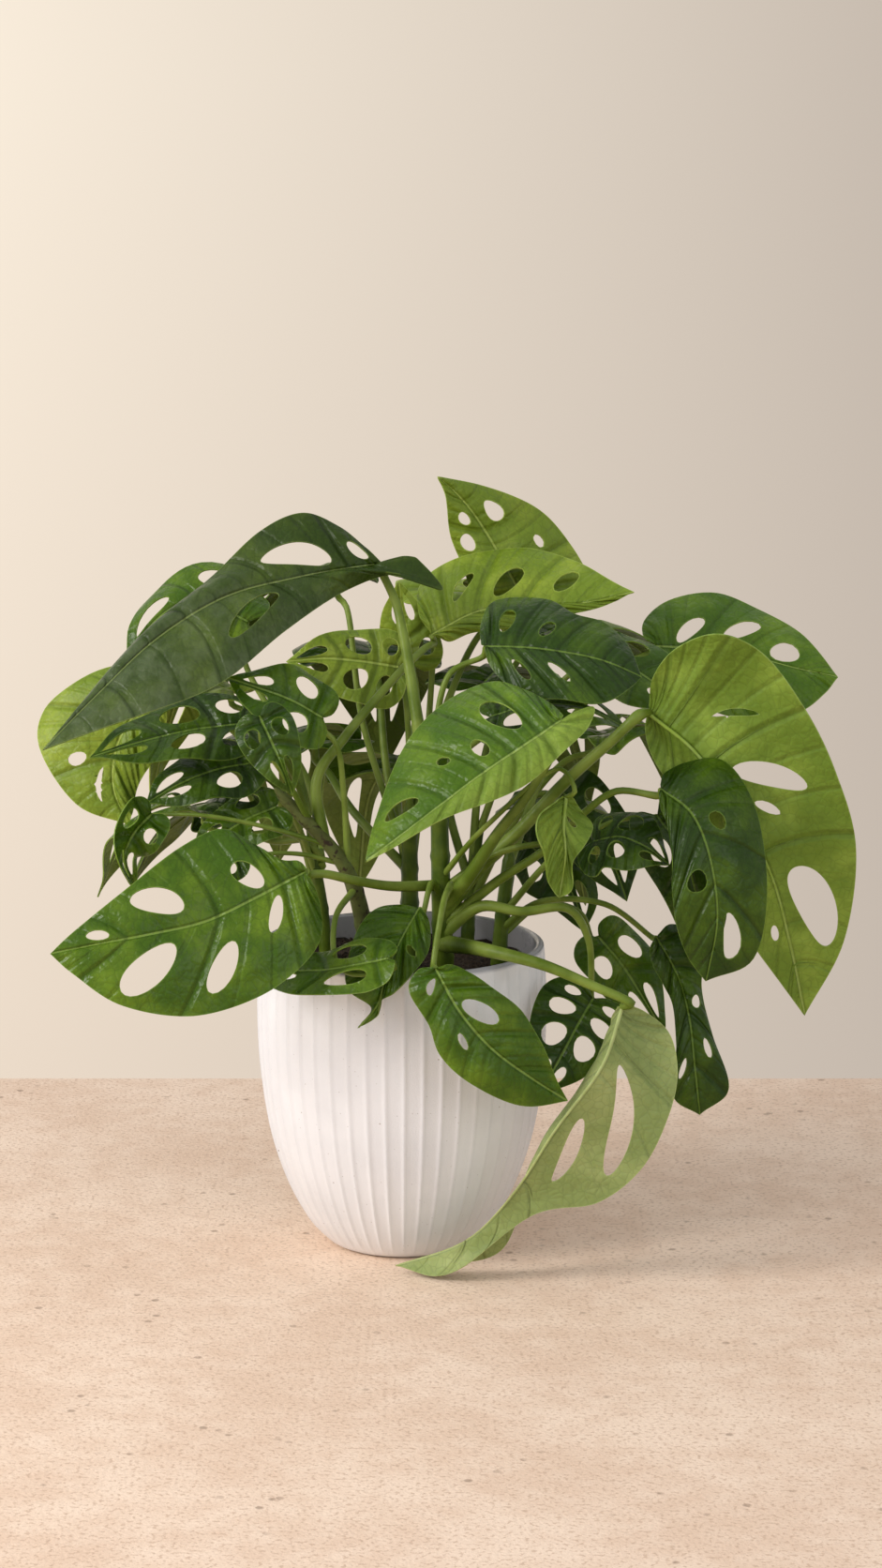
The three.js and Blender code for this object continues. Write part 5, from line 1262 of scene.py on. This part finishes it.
# The studio: a plain pale floor that ends behind the pot, a pale warm surround that is
# brighter on the left, a soft light from the left, a weak one from the front right, and the
# camera at the photograph's angle.
FLOOR_BACK = 0.325
FLOOR_SIZE = 4.0
WALL_HIGH_LEFT = (0.98, 0.87, 0.73, 1)
WALL_LOW_LEFT = (0.86, 0.73, 0.60, 1)
WALL_RIGHT = (0.54, 0.47, 0.405, 1)
ROOM_LIGHT = (0.67, 0.675, 0.69, 1)
STONE_DARK = (0.78, 0.575, 0.43, 1)
STONE_LIGHT = (0.88, 0.69, 0.54, 1)
GRIT_BROWN = (0.54, 0.37, 0.26, 1)
PIT_BROWN = (0.36, 0.25, 0.18, 1)
EYE = (0.021, -1.947, 0.622)
LOOK_DOWN = math.radians(10.8)
LENS = 85.6
SENSOR = 36
board = Finish("pale_floor", Roughness=0.85, Specular_IOR_Level=0.2)
clouds = board.plus(board.times(board.noise(9, 4), 0.6), board.times(board.noise(60, 5), 0.4))
stone = board.blend(board.ease(clouds, 0.36, 0.64), STONE_DARK, STONE_LIGHT)
grit = board.ease(board.noise(420, 4), 0.52, 0.66, 0.0, 0.6)
stone = board.blend(grit, stone, GRIT_BROWN)
pitted = board.ease(board.noise(22, 2), 0.5, 0.66)
pits = board.times(pitted, board.ease(board.cells(75, "F1"), 0.08, 0.2, 0.7, 0.0))
board.wire("Base Color", board.blend(pits, stone, PIT_BROWN))
board.emboss(board.plus(board.noise(380, 4), board.times(pits, -1.0)), 0.0006)
bpy.ops.object.select_all(action="DESELECT")
bpy.ops.mesh.primitive_plane_add(
    size=FLOOR_SIZE, location=(0, FLOOR_BACK - FLOOR_SIZE / 2, -0.0002)
)
floor = bpy.context.object
floor.name = "floor"
bpy.ops.object.transform_apply(location=True, rotation=True, scale=True)
floor.data.materials.append(board.material)


def soft_light(name, place, aim, size, power, colour):
    bpy.ops.object.light_add(type="AREA", location=place)
    lamp = bpy.context.object
    lamp.name = name
    lamp.data.shape = "DISK"
    lamp.data.size = size
    lamp.data.energy = power
    lamp.data.color = colour
    lamp.rotation_euler = (Vector(aim) - Vector(place)).to_track_quat("-Z", "Y").to_euler()


soft_light("window_light", (-1.45, -0.7, 1.0), (0, 0, 0.25), 0.8, 22, (1.0, 0.975, 0.945))
soft_light("front_fill", (0.9, -1.8, 1.0), (0, 0, 0.22), 1.4, 6, (0.97, 0.98, 1.0))
room = bpy.data.worlds.new("pale_room")
room.use_nodes = True
nodes, links = room.node_tree.nodes, room.node_tree.links
compass = nodes.new("ShaderNodeTexCoord")
split = nodes.new("ShaderNodeSeparateXYZ")
links.new(compass.outputs["Generated"], split.inputs[0])


def room_share(axis, start, end):
    share = nodes.new("ShaderNodeMapRange")
    share.inputs["From Min"].default_value = start
    share.inputs["From Max"].default_value = end
    links.new(split.outputs[axis], share.inputs["Value"])
    return share.outputs["Result"]


def room_blend(share, first, second):
    tones = nodes.new("ShaderNodeMixRGB")
    links.new(share, tones.inputs["Fac"])
    for socket, tone in (("Color1", first), ("Color2", second)):
        if isinstance(tone, tuple):
            tones.inputs[socket].default_value = tone
        else:
            links.new(tone, tones.inputs[socket])
    return tones.outputs["Color"]


left_tone = room_blend(room_share("Z", -0.26, 0.0), WALL_LOW_LEFT, WALL_HIGH_LEFT)
wall_tone = room_blend(room_share("X", -0.14, 0.14), left_tone, WALL_RIGHT)
room_tone = room_blend(room_share("Y", 0.80, 0.90), ROOM_LIGHT, wall_tone)
links.new(room_tone, nodes["Background"].inputs["Color"])
bpy.context.scene.world = room
bpy.context.scene.view_settings.view_transform = "Standard"

bpy.ops.object.camera_add(location=EYE, rotation=(math.pi / 2 - LOOK_DOWN, 0, 0))
camera = bpy.context.object
camera.data.lens = LENS
camera.data.sensor_width = SENSOR
bpy.context.scene.camera = camera
